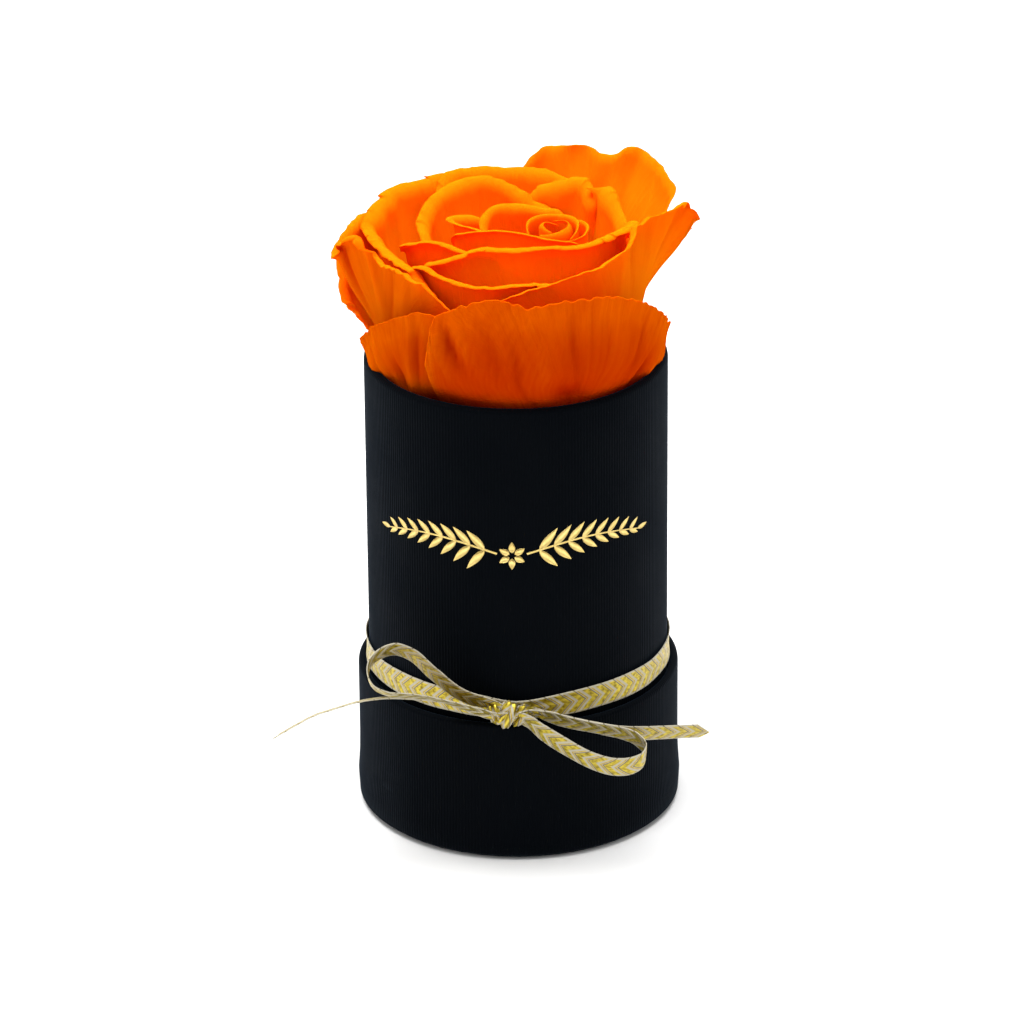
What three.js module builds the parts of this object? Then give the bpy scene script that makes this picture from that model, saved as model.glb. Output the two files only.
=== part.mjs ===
// A round black paper flower box with one large preserved rose and a narrow gold ribbon tied round it.
// Millimetres, +Z up, front towards -Y. The origin is the middle of the underside that the box stands on.
import * as THREE from 'three';
import { mergeVertices } from 'three/addons/utils/BufferGeometryUtils.js';

// Driving dimensions of the box and of the lid that it stands in
const BOX_RADIUS = 35;
const BOX_TOP = 112.2;
const BOX_TURN_IN = 14;
const LID_RADIUS = 37.6;
const LID_TOP = 34.5;
const LID_TURN_IN = 12;
const PAPER = 0.3;
const BOX_BOARD = 1.2;
const LID_BOARD = 0.8;
const FLOOR_BOARD = 1.3;
const GAP = 0.25;
const FLANGE_INNER_RADIUS = 28;
const ROUND_SEGMENTS = 48;

// Driving dimensions of the foam, the stem and the calyx
const FOAM_RADIUS = 32.9;
const FOAM_TOP = 85.6;
const STEM_RADIUS = 2.3;
const STEM_FOOT = 56;
const STEM_SEGMENTS = 12;
const CALYX_BOTTOM = 86;
const SEPAL_COUNT = 5;
const SEPAL_WIDTH = 7;
const SEPAL_THICKNESS = 0.5;

// Driving dimensions of the rose: nested bowls, each named by its radius at BOWL_FULL
const BOWL_FOOT = 88;
const BOWL_FULL = 140;
const BOWL_POWER = 2.6;
const OUTER_BOWL = 36;
const HEART_X = 9.5;
const HEART_Y = -1.5;
const FLARE_START = 125;
const FLARE_SPAN = 20;
const PETAL_FOOT_LOW = 91.2;
const PETAL_FOOT_RISE = 7;
const PETAL_FOOT_BOWL = 41;
const PETAL_FOOT_WIDTH = 0.18;
const PETAL_FOOT_BLEND = 0.5;
const PETAL_THIN = 0.3;
const PETAL_THICK = 0.5;
const PETAL_ROWS = 6;
const PETAL_DEGREES_PER_COLUMN = 24;

// Driving dimensions of the ribbon
const RIBBON_WIDTH = 5.8;
const RIBBON_THICKNESS = 0.35;
const BAND_HEIGHT = 38.6;
const BAND_COLUMNS = 48;
const KNOT = { x: -1.8, y: -38.1, z: 37.6, length: 8.2, depth: 4.2, height: 6.2 };

// Materials, one for each stuff
function stuff(color, roughness, metalness = 0) {
  return new THREE.MeshStandardMaterial({ color, roughness, metalness });
}
const blackPaper = stuff(0x15181d, 0.85);
const greyboard = stuff(0x8b8378, 0.95);
const blackFoam = stuff(0x1c1f1d, 1.0);
const petalOrange = stuff(0xff7f0a, 0.7);
const stemGreen = stuff(0x5b6b33, 0.8);
const goldRibbon = stuff(0xd9b64c, 0.4, 0.5);

const model = new THREE.Group();

function radians(degrees) {
  return (degrees * Math.PI) / 180;
}

function smooth(value) {
  const t = Math.min(Math.max(value, 0), 1);
  return t * t * (3 - 2 * t);
}

// Puts a closed body into the model, with its faces turned outwards
function add(name, geometry, material) {
  geometry.deleteAttribute('normal');
  geometry.deleteAttribute('uv');
  const body = mergeVertices(geometry, 1e-5);
  const index = Array.from(body.index.array);
  const corner = [new THREE.Vector3(), new THREE.Vector3(), new THREE.Vector3()];
  const kept = [];
  let volume = 0;
  for (let i = 0; i < index.length; i += 3) {
    const face = index.slice(i, i + 3);
    if (new Set(face).size < 3) {
      continue;
    }
    face.forEach((vertex, k) => corner[k].fromBufferAttribute(body.attributes.position, vertex));
    volume += corner[0].dot(corner[1].clone().cross(corner[2]));
    kept.push(face);
  }
  const outward = kept.map((face) => (volume < 0 ? [face[0], face[2], face[1]] : face));
  body.setIndex(outward.flat());
  body.computeVertexNormals();
  const mesh = new THREE.Mesh(body, material);
  mesh.name = name;
  model.add(mesh);
}

// A body of revolution about Z from [radius, height] pairs
function turned(profile, segments = ROUND_SEGMENTS) {
  const points = profile.map(([radius, height]) => new THREE.Vector2(radius, height));
  const closed = profile[0][0] === 0 ? points : [...points, points[0].clone()];
  return new THREE.LatheGeometry(closed, segments).rotateX(Math.PI / 2);
}

function disc(radius, bottom, top) {
  return turned([[0, bottom], [radius, bottom], [radius, top], [0, top]]);
}

function pipe(inner, outer, bottom, top) {
  return turned([[inner, bottom], [outer, bottom], [outer, top], [inner, top]]);
}

// The paper that wraps a board tube: under the foot, up the outside, over the rim and down inside
function wrap(radius, foot, rim, board, turnIn) {
  const inside = radius - PAPER;
  const legOuter = inside - GAP - board - GAP;
  const legInner = legOuter - PAPER;
  return turned([
    [FLANGE_INNER_RADIUS, foot], [radius, foot], [radius, rim - PAPER], [radius - PAPER, rim],
    [legOuter, rim], [legInner, rim - PAPER], [legInner, rim - turnIn], [legOuter, rim - turnIn],
    [legOuter, rim - PAPER], [inside, rim - PAPER], [inside, foot + PAPER],
    [FLANGE_INNER_RADIUS, foot + PAPER],
  ]);
}

// A closed sheet from a grid of middle points and their normals, thickness given row by row
function sheet(grid, normals, thicknessAt, joined = false) {
  const rows = grid.length;
  const columns = grid[0].length;
  const positions = [];
  for (const side of [1, -1]) {
    for (let j = 0; j < rows; j += 1) {
      for (let i = 0; i < columns; i += 1) {
        const half = (side * thicknessAt(j / (rows - 1))) / 2;
        const point = grid[j][i].clone().addScaledVector(normals[j][i], half);
        positions.push(point.x, point.y, point.z);
      }
    }
  }
  const at = (side, j, i) => side * rows * columns + (j % rows) * columns + i;
  const index = [];
  const quad = (a, b, c, d) => index.push(a, b, c, a, c, d);
  const lastRow = joined ? rows : rows - 1;
  for (let j = 0; j < lastRow; j += 1) {
    for (let i = 0; i < columns - 1; i += 1) {
      quad(at(0, j, i), at(0, j, i + 1), at(0, j + 1, i + 1), at(0, j + 1, i));
      quad(at(1, j, i), at(1, j + 1, i), at(1, j + 1, i + 1), at(1, j, i + 1));
    }
    quad(at(0, j, 0), at(0, j + 1, 0), at(1, j + 1, 0), at(1, j, 0));
    quad(at(0, j + 1, columns - 1), at(0, j, columns - 1), at(1, j, columns - 1), at(1, j + 1, columns - 1));
  }
  for (let i = 0; i < columns - 1 && !joined; i += 1) {
    quad(at(0, 0, i + 1), at(0, 0, i), at(1, 0, i), at(1, 0, i + 1));
    quad(at(0, rows - 1, i), at(0, rows - 1, i + 1), at(1, rows - 1, i + 1), at(1, rows - 1, i));
  }
  const geometry = new THREE.BufferGeometry();
  geometry.setAttribute('position', new THREE.Float32BufferAttribute(positions, 3));
  geometry.setIndex(index);
  return geometry;
}

// A closed body through a stack of rings, with a point at each end
function stack(rings, bottom, top) {
  const count = rings[0].length;
  const positions = [...rings.flat(), bottom, top].flatMap((point) => [point.x, point.y, point.z]);
  const bottomIndex = rings.length * count;
  const index = [];
  for (let i = 0; i < count; i += 1) {
    const next = (i + 1) % count;
    for (let j = 0; j < rings.length - 1; j += 1) {
      const low = j * count;
      const high = low + count;
      index.push(low + i, low + next, high + next, low + i, high + next, high + i);
    }
    index.push(bottomIndex, next, i);
    const last = (rings.length - 1) * count;
    index.push(bottomIndex + 1, last + i, last + next);
  }
  const geometry = new THREE.BufferGeometry();
  geometry.setAttribute('position', new THREE.Float32BufferAttribute(positions, 3));
  geometry.setIndex(index);
  return geometry;
}

// The box: a greyboard tube and floor, wrapped in ribbed paper that is turned in over the rim
const boxFoot = PAPER + GAP + PAPER + GAP + FLOOR_BOARD + GAP + 0.05;
const boxBoardOuter = BOX_RADIUS - PAPER - GAP;
const boxBoardInner = boxBoardOuter - BOX_BOARD;
const boxBoardFoot = boxFoot + PAPER + GAP;
add('box_cover_paper', wrap(BOX_RADIUS, boxFoot, BOX_TOP, BOX_BOARD, BOX_TURN_IN), blackPaper);
add('box_wall_board', pipe(boxBoardInner, boxBoardOuter, boxBoardFoot, BOX_TOP - PAPER - GAP), greyboard);
add('box_floor_board', disc(boxBoardInner - GAP, boxBoardFoot, boxBoardFoot + FLOOR_BOARD), greyboard);

// The lid, turned over and standing under the box as its base
const lidFoot = PAPER + GAP;
const lidBoardOuter = LID_RADIUS - PAPER - GAP;
const lidBoardInner = lidBoardOuter - LID_BOARD;
const lidBoardFoot = lidFoot + PAPER + GAP;
add('lid_cover_paper', wrap(LID_RADIUS, lidFoot, LID_TOP, LID_BOARD, LID_TURN_IN), blackPaper);
add('lid_wall_board', pipe(lidBoardInner, lidBoardOuter, lidBoardFoot, LID_TOP - PAPER - GAP), greyboard);
add('lid_top_board', disc(lidBoardInner - GAP, lidBoardFoot, lidBoardFoot + FLOOR_BOARD - 0.05), greyboard);
add('lid_top_paper', disc(LID_RADIUS - 1, 0, PAPER), blackPaper);

// The foam plug that the stem is pressed into
const foamFoot = boxBoardFoot + FLOOR_BOARD + GAP;
const boreRadius = STEM_RADIUS + 0.4;
const boreFoot = STEM_FOOT - GAP;
add('foam_plug', turned([
  [0, foamFoot], [FOAM_RADIUS, foamFoot], [FOAM_RADIUS, FOAM_TOP], [boreRadius, FOAM_TOP],
  [boreRadius, boreFoot], [0, boreFoot],
]), blackFoam);
add('stem', turned([
  [0, STEM_FOOT], [STEM_RADIUS * 0.7, STEM_FOOT], [STEM_RADIUS, STEM_FOOT + 3],
  [STEM_RADIUS, CALYX_BOTTOM - GAP], [0, CALYX_BOTTOM - GAP],
], STEM_SEGMENTS), stemGreen);

// The bowls that the petals follow
function bowlGrowth(height) {
  const t = (height - BOWL_FOOT) / (BOWL_FULL - BOWL_FOOT);
  return 1 - (1 - Math.min(Math.max(t, 0), 1)) ** BOWL_POWER;
}

function bowlRadius(bowl, height) {
  const above = Math.max(0, (height - FLARE_START) / FLARE_SPAN);
  const flare = ((6 * bowl) / OUTER_BOWL - 2) * Math.min(bowl / 8, 1);
  return bowl * bowlGrowth(height) + flare * above * above;
}

function bowlPoint(bowl, azimuth, height, inset = 0) {
  const lean = bowlGrowth(height) ** 3 * Math.max(0, 1 - bowl / OUTER_BOWL);
  const radius = bowlRadius(bowl, height) - inset;
  const angle = radians(azimuth);
  return new THREE.Vector3(
    HEART_X * lean + radius * Math.sin(angle),
    HEART_Y * lean - radius * Math.cos(angle),
    height,
  );
}

function petalFoot(bowl) {
  return PETAL_FOOT_LOW + PETAL_FOOT_RISE * (1 - bowl / PETAL_FOOT_BOWL);
}

function bowlRing(bowl, height, inset, count = 16) {
  return Array.from({ length: count }, (_, i) => bowlPoint(bowl, (360 * i) / count, height, inset));
}

function flatRing(radius, height, count = 16) {
  return Array.from({ length: count }, (_, i) => {
    const angle = (2 * Math.PI * i) / count;
    return new THREE.Vector3(radius * Math.sin(angle), -radius * Math.cos(angle), height);
  });
}

// The calyx: the swollen top of the stem that every petal grows from
const CALYX_INSET = 0.6;
const calyxBowls = [41, 30, 21, 14, 9, 6];
const calyxRings = [
  flatRing(2.8, CALYX_BOTTOM),
  flatRing(4.2, CALYX_BOTTOM + 1.6),
  flatRing(5.3, CALYX_BOTTOM + 3.6),
  ...calyxBowls.map((bowl) => bowlRing(bowl, petalFoot(bowl), CALYX_INSET)),
];
const calyxTop = bowlPoint(2, 0, petalFoot(4), bowlRadius(2, petalFoot(4)));
add('calyx', stack(calyxRings, new THREE.Vector3(0, 0, CALYX_BOTTOM), calyxTop), stemGreen);

// The sepals, spread out under the petals
const sepalLine = [[5.5, 89.2], [8, 90.2], [12, 90.6], [16, 89.8], [20, 88]];
for (let n = 0; n < SEPAL_COUNT; n += 1) {
  const angle = radians((360 * n) / SEPAL_COUNT + 20);
  const out = new THREE.Vector3(Math.sin(angle), -Math.cos(angle), 0);
  const across = new THREE.Vector3(Math.cos(angle), Math.sin(angle), 0);
  const grid = sepalLine.map(([radius, height], j) => {
    const half = (SEPAL_WIDTH / 2) * Math.sin(Math.PI * (0.22 + 0.74 * (j / (sepalLine.length - 1))));
    const middle = out.clone().multiplyScalar(radius).setZ(height);
    return [-1, 0, 1].map((side) => middle.clone().addScaledVector(across, side * half));
  });
  const up = new THREE.Vector3(0, 0, 1);
  const normals = grid.map((row) => row.map(() => up));
  add(`sepal_${n + 1}`, sheet(grid, normals, () => SEPAL_THICKNESS), stemGreen);
}

// The tight bud at the heart of the rose
const budRings = [100, 108, 118, 128, 136, 141].map((height, j) => {
  const radius = [1.1, 1.5, 1.7, 1.8, 1.7, 1.1][j];
  return bowlRing(1.5, height, bowlRadius(1.5, height) - radius, 10);
});
const budBottom = bowlPoint(1.5, 0, 98.6, bowlRadius(1.5, 98.6));
const budTop = bowlPoint(1.5, 0, 142.4, bowlRadius(1.5, 142.4));
add('heart_bud', stack(budRings, budBottom, budTop), petalOrange);

// Petals from the heart outwards. Each row is a station along the margin, turning anticlockwise
// as seen from above: azimuth in degrees (0 is the front, 90 the right), the bowl that the petal's
// body follows, the bowl that its margin reaches, and the height of the margin.
const PETALS = {
  heart_petal_left: [
    [-205, 3.2, 2.8, 142.6], [-150, 3.4, 3, 143.4], [-100, 3.4, 3, 143.7], [-50, 3.4, 3, 143.4],
    [-5, 3.2, 3, 142.6],
  ],
  heart_petal_right: [
    [-40, 4.8, 4.4, 142.2], [20, 5, 4.6, 143], [70, 5.2, 5, 143.6], [120, 5, 4.6, 143.8],
    [172, 4.8, 4.4, 143],
  ],
  heart_petal_back: [
    [45, 8.4, 8.2, 142.2], [66, 8.3, 8.1, 143.4], [87, 7.8, 7.6, 144], [120, 7, 6.8, 144.2],
    [155, 6.4, 6.2, 144], [200, 6.2, 5.8, 144], [260, 6.2, 5.8, 143.6], [300, 6.4, 6, 142.4],
  ],
  heart_petal_front: [
    [-62, 7.6, 7.4, 142], [-20, 8.4, 8.2, 142.8], [20, 9.6, 9.6, 142.8], [50, 10.4, 10.4, 142.8],
    [85, 10.2, 10.2, 143], [118, 9.8, 9.6, 142.7], [148, 9.6, 9.4, 141.4],
  ],
  inner_petal_back_left: [
    [-236, 8, 8, 140], [-205, 7.8, 7.6, 144], [-173, 7.8, 7.4, 144.5], [-146, 10, 10, 145],
    [-126, 12, 12.6, 145], [-112, 12.8, 13.4, 143.6], [-98, 12.6, 13.2, 142], [-74, 11.6, 11.6, 138],
  ],
  inner_petal_left: [
    [-142, 14, 14.2, 138], [-124, 14.4, 16, 141.6], [-110, 14.8, 19.4, 142.4], [-99, 14.6, 17, 142.4],
    [-86, 14, 14.2, 142.8], [-66, 12.6, 12.6, 143], [-44, 10.4, 10.2, 143.4], [-16, 9.8, 9.8, 140],
  ],
  inner_petal_front: [
    [-94, 16.6, 17.6, 137], [-82, 16.4, 18.2, 141.6], [-70, 15, 15.6, 143.8], [-55, 13, 13, 145],
    [-34, 11.6, 11.6, 145.4], [-10, 11.4, 11.4, 145], [15, 11.8, 11.8, 144], [38, 12.2, 12.2, 142.6],
    [58, 12.6, 12.6, 139],
  ],
  inner_petal_right: [
    [-48, 15.6, 15.4, 137], [-18, 14.8, 14.8, 141], [16, 14.8, 14.8, 141.6], [48, 15.4, 15.4, 141],
    [80, 16, 16, 136],
  ],
  ring_petal_front_left: [
    [-90, 24.4, 27, 137], [-77, 23.6, 26.2, 141], [-66, 22.4, 23.2, 143], [-56, 21.2, 21.2, 142.8],
    [-44, 19.8, 19.8, 142.2], [-28, 18.2, 18.2, 141], [-8, 17, 17, 137],
  ],
  ring_petal_front: [
    [-68, 25, 27, 135], [-56, 24.4, 26.4, 139], [-42, 22.6, 23.4, 142.5], [-30, 20.8, 21, 144.6],
    [-4, 19, 18.8, 145], [26, 18.6, 18.4, 144.4], [46, 19.4, 19.4, 144.6], [70, 20.8, 21.4, 144.8],
    [90, 21.6, 22.2, 143], [108, 22, 22, 137],
  ],
  ring_petal_right: [
    [86, 19, 19, 137], [100, 19.6, 20.2, 141], [114, 20, 20.6, 143], [127, 20.6, 21.6, 145],
    [135, 21, 22, 145.5], [141, 21.2, 20.8, 143.8], [149, 21.4, 22.4, 146], [161, 21.8, 21.8, 144.6],
    [173, 22, 22, 143.2], [190, 22.4, 22.4, 138],
  ],
  ring_petal_back_left: [
    [-222, 16, 16, 136], [-205, 17, 17, 138], [-188, 18.6, 18.6, 139.6], [-174, 20, 20.2, 142.2],
    [-163, 21.8, 22.2, 144.9], [-153, 22.8, 23.4, 145.9], [-139, 23.2, 24, 145.4],
    [-125, 23.4, 24.2, 144.2], [-108, 23, 24.2, 141.6], [-93, 22.2, 23, 139.5], [-76, 21.4, 21.6, 134],
  ],
  middle_petal_front: [
    [-46, 26.6, 26.6, 130], [-25, 24.8, 24.8, 135], [2, 23.8, 23.8, 136.4], [30, 23, 23, 136],
    [60, 23.4, 23.4, 132],
  ],
  middle_petal_left: [
    [-150, 28.4, 28.4, 124], [-130, 28.8, 29, 128], [-106, 28.6, 28.6, 128], [-86, 27.8, 27.8, 127],
    [-68, 27, 27, 121],
  ],
  middle_petal_right: [
    [82, 24.2, 24.2, 132], [102, 25.2, 25.4, 135], [126, 26.2, 26.4, 136], [150, 26.8, 27, 137],
    [174, 26.6, 26.6, 132],
  ],
  middle_petal_back: [
    [144, 28.6, 28.6, 131], [165, 28.8, 29, 137], [185, 28.4, 28.8, 139], [206, 27.8, 28.2, 138],
    [226, 27, 27, 132],
  ],
  upper_petal_front: [
    [-62, 28.4, 28.4, 135], [-50, 28.8, 29.2, 141], [-37, 28.4, 29, 140.4], [-26, 28, 28.6, 139.2],
    [-11, 27.4, 28, 139.5], [6, 26.6, 27, 140], [22, 25.6, 25.6, 137],
  ],
  upper_petal_right: [
    [-28, 30.2, 30.2, 132], [-7, 29.6, 30, 137.7], [7, 28.6, 28.8, 140.3], [26, 27.4, 27.6, 142],
    [38, 26.8, 26.8, 142.6], [52, 26.2, 25.8, 143.8], [62, 26, 24.8, 145], [71, 26.2, 24.2, 146.6],
    [83, 27.4, 26.8, 146.8], [92, 29, 31.4, 146.4], [98, 29.6, 35.2, 146], [101.5, 30, 38.2, 143],
    [103.5, 30.2, 40.6, 139.8], [105.3, 30.2, 39, 138.5], [106.8, 30.2, 40.4, 136.6],
    [108.5, 30.2, 37, 133.5], [110, 30.2, 32.4, 127], [112, 30.2, 30.4, 121],
  ],
  upper_petal_left: [
    [-168, 33.4, 33.4, 138], [-153, 33, 33.2, 142.7], [-142, 33, 34, 142.3], [-129, 33, 34.2, 142.6],
    [-117, 33, 34.2, 140.8], [-106, 32.4, 33.8, 139.6], [-92, 31.4, 32, 139.5], [-78, 30.6, 30.6, 139.8],
    [-64, 30.4, 30.4, 140.2], [-51, 30.4, 30.8, 140.5], [-38, 30.6, 30.6, 136],
  ],
  upper_petal_back: [
    [-214, 30, 30, 135], [-198, 30.6, 31, 141.8], [-187, 31, 31.8, 143], [-174, 31.2, 32, 143.3],
    [-162, 31.2, 31.8, 143.9], [-150, 31, 31.2, 143.6], [-138, 30.4, 30.4, 138],
  ],
  tall_petal_back_right: [
    [111, 33, 34.2, 141], [114, 33, 36.3, 144.8], [119, 33.2, 36.3, 146.4], [129, 33.4, 35.8, 148.9],
    [137, 33.6, 35.4, 150], [144, 33.8, 35, 148.6], [150, 33.8, 34.6, 147.4], [155, 33.8, 34.6, 148.6],
    [163, 33.6, 34.6, 147.8], [171, 33.4, 34, 147.2], [178, 33.2, 33.4, 142.5], [187, 33, 33, 135],
  ],
  outer_petal_left: [
    [-128, 35.6, 35.8, 134], [-117, 35.8, 36.2, 139], [-109, 35.8, 36.4, 139.6], [-102, 35.8, 38, 138],
    [-96, 35.8, 40, 135.2], [-90, 35.6, 40.2, 135.2], [-84, 34.8, 37.4, 140], [-78, 33.8, 34.6, 143.6],
    [-72, 33.2, 33.6, 143], [-67, 32.8, 32.6, 140.4], [-58, 32.4, 32.6, 140.3], [-48, 32.4, 32.8, 141],
    [-38, 32.2, 32.4, 140], [-29, 31.8, 31.8, 137],
  ],
  outer_petal_left_back: [
    [-152, 39.2, 39.2, 122], [-136, 39.2, 39.8, 130.5], [-121, 39.2, 40.6, 134], [-110, 39, 41.4, 133.5],
    [-104, 38.6, 41.8, 130], [-99, 38.2, 41.4, 125.5], [-95.5, 37.8, 40.4, 121], [-93, 37.4, 38.4, 117],
  ],
  guard_petal_front: [
    [-36, 38, 37.6, 120], [-33, 38.1, 37.2, 127], [-29, 38.2, 36.6, 133.8], [-23, 38.4, 35.9, 136.2],
    [-16, 38.6, 35.3, 138.4], [-9, 38.8, 35, 139.7], [3, 39.2, 35, 138.2], [18, 39.5, 35.2, 138.4],
    [31, 39.7, 35.4, 138.2], [44, 39.9, 36, 135.6], [54, 40, 36.6, 132.4], [63, 40.2, 37.4, 128.6],
    [73, 40.3, 37.8, 124.5], [82, 40.2, 38.6, 120.4], [91, 40, 39.2, 117], [95, 39.8, 40, 114.8],
    [99, 39.6, 39.6, 113],
  ],
  guard_petal_front_left: [
    [-91, 39, 40.1, 114], [-86, 39.3, 41.1, 115.6], [-80, 39.6, 40.4, 118], [-73, 39.7, 38.8, 121],
    [-66, 39.2, 37.8, 124.4], [-55, 38, 37, 128], [-45, 36.8, 36.1, 131.4], [-37, 36, 35.4, 133.6],
    [-29, 35.4, 34.8, 132], [-20, 35.2, 34.4, 124],
  ],
  guard_petal_back_right: [
    [120, 39.4, 38.4, 112], [132, 39.6, 38.4, 126], [146, 39.8, 38.8, 134], [162, 39.8, 39, 136],
    [178, 39.8, 38.6, 133], [193, 39.6, 37.6, 124],
  ],
  guard_petal_back_left: [
    [-190, 35.6, 35.6, 123], [-175, 36, 36.6, 133], [-158, 36.2, 37.2, 136.5], [-141, 36.8, 37.8, 134],
    [-124, 37.4, 37.4, 124],
  ],
};

// One value of the stations at a place from 0 to 1, along a smooth curve through all of them
function alongStations(stations, column, place) {
  const last = stations.length - 1;
  const k = Math.min(Math.floor(place * last), last - 1);
  const t = place * last - k;
  const value = (n) => stations[Math.min(Math.max(n, 0), last)][column];
  const [a, b, c, d] = [value(k - 1), value(k), value(k + 1), value(k + 2)];
  const slopeB = (c - a) / 2;
  const slopeC = (d - b) / 2;
  const rise = c - b;
  return b + t * (slopeB + t * (3 * rise - 2 * slopeB - slopeC + t * (slopeB + slopeC - 2 * rise)));
}

function petalPoint(stations, across, up) {
  const [azimuth, body, margin, top] = [0, 1, 2, 3].map((n) => alongStations(stations, n, across));
  const middle = (stations[0][0] + stations[stations.length - 1][0]) / 2;
  const width = PETAL_FOOT_WIDTH + (1 - PETAL_FOOT_WIDTH) * smooth(up / 0.6);
  const footBowl = stations.reduce((sum, station) => sum + station[1], 0) / stations.length;
  const lower = footBowl + (body - footBowl) * smooth(up / PETAL_FOOT_BLEND);
  const bowl = lower + (margin - body) * smooth((up - 0.6) / 0.4);
  const foot = petalFoot(footBowl);
  return bowlPoint(bowl, middle + (azimuth - middle) * width, foot + (top - foot) * up);
}

function petalNormal(stations, across, up) {
  const step = 0.01;
  const lowAcross = Math.max(across - step, 0);
  const highAcross = Math.min(across + step, 1);
  const alongMargin = petalPoint(stations, highAcross, up).sub(petalPoint(stations, lowAcross, up));
  const upwards = petalPoint(stations, across, Math.min(up + step, 1));
  upwards.sub(petalPoint(stations, across, Math.max(up - step, 0)));
  return alongMargin.cross(upwards).normalize();
}

// The places across a petal where its mesh has a column: every station, and more where they are far apart
function petalColumns(stations) {
  const last = stations.length - 1;
  const places = [0];
  for (let k = 0; k < last; k += 1) {
    const degrees = stations[k + 1][0] - stations[k][0];
    const parts = Math.max(1, Math.round(degrees / PETAL_DEGREES_PER_COLUMN));
    for (let i = 1; i <= parts; i += 1) {
      places.push((k + i / parts) / last);
    }
  }
  return places;
}

for (const [name, stations] of Object.entries(PETALS)) {
  const places = petalColumns(stations);
  const grid = [];
  const normals = [];
  for (let j = 0; j <= PETAL_ROWS; j += 1) {
    const up = (j / PETAL_ROWS) ** 1.25;
    grid.push(places.map((across) => petalPoint(stations, across, up)));
    normals.push(places.map((across) => petalNormal(stations, across, up)));
  }
  const thickness = (up) => PETAL_THIN + (PETAL_THICK - PETAL_THIN) * smooth(up / 0.4);
  add(name, sheet(grid, normals, thickness), petalOrange);
}

// A ribbon along a line of points. Each point has the tilt of the ribbon's width in degrees above
// the horizontal, seen from the right, and the width there as a share of the full width.
function ribbon(points, steps, joined = false) {
  const line = new THREE.CatmullRomCurve3(points.map((p) => new THREE.Vector3(p[0], p[1], p[2])), joined);
  const grid = [];
  const normals = [];
  const count = joined ? steps : steps + 1;
  for (let j = 0; j < count; j += 1) {
    const place = j / steps;
    const centre = line.getPoint(place);
    const along = line.getTangent(place);
    const last = points.length - 1;
    const k = Math.min(Math.floor(place * last), last - 1);
    const t = place * last - k;
    const tilt = radians(points[k][3] * (1 - t) + points[k + 1][3] * t);
    const width = RIBBON_WIDTH * (points[k][4] * (1 - t) + points[k + 1][4] * t);
    const across = new THREE.Vector3(0, -Math.cos(tilt), Math.sin(tilt));
    across.addScaledVector(along, -across.dot(along)).normalize();
    const normal = along.clone().cross(across).normalize();
    grid.push([-1, 1].map((side) => centre.clone().addScaledVector(across, (side * width) / 2)));
    normals.push([normal, normal]);
  }
  return sheet(grid, normals, () => RIBBON_THICKNESS, joined);
}

// The band round the box, which dips a little where it is drawn into the knot
const bandRadius = BOX_RADIUS + GAP + RIBBON_THICKNESS / 2 + 0.05;
const bandGrid = [];
const bandNormals = [];
for (let i = 0; i < BAND_COLUMNS; i += 1) {
  const azimuth = (360 * i) / BAND_COLUMNS;
  const angle = radians(azimuth);
  const fromKnot = Math.min(azimuth, 360 - azimuth);
  const gather = Math.exp(-((fromKnot / 14) ** 2));
  const height = BAND_HEIGHT - gather;
  const half = (RIBBON_WIDTH / 2) * (1 - 0.2 * gather);
  const out = new THREE.Vector3(Math.sin(angle), -Math.cos(angle), 0);
  bandGrid.push([-half, half].map((z) => out.clone().multiplyScalar(bandRadius).setZ(height + z)));
  bandNormals.push([out, out]);
}
add('ribbon_band', sheet(bandGrid, bandNormals, () => RIBBON_THICKNESS, true), goldRibbon);

// The knot
const knotShape = new THREE.SphereGeometry(0.5, 14, 10);
knotShape.scale(KNOT.length, KNOT.depth, KNOT.height);
knotShape.translate(KNOT.x, KNOT.y, KNOT.z);
add('ribbon_knot', knotShape, goldRibbon);

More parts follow.
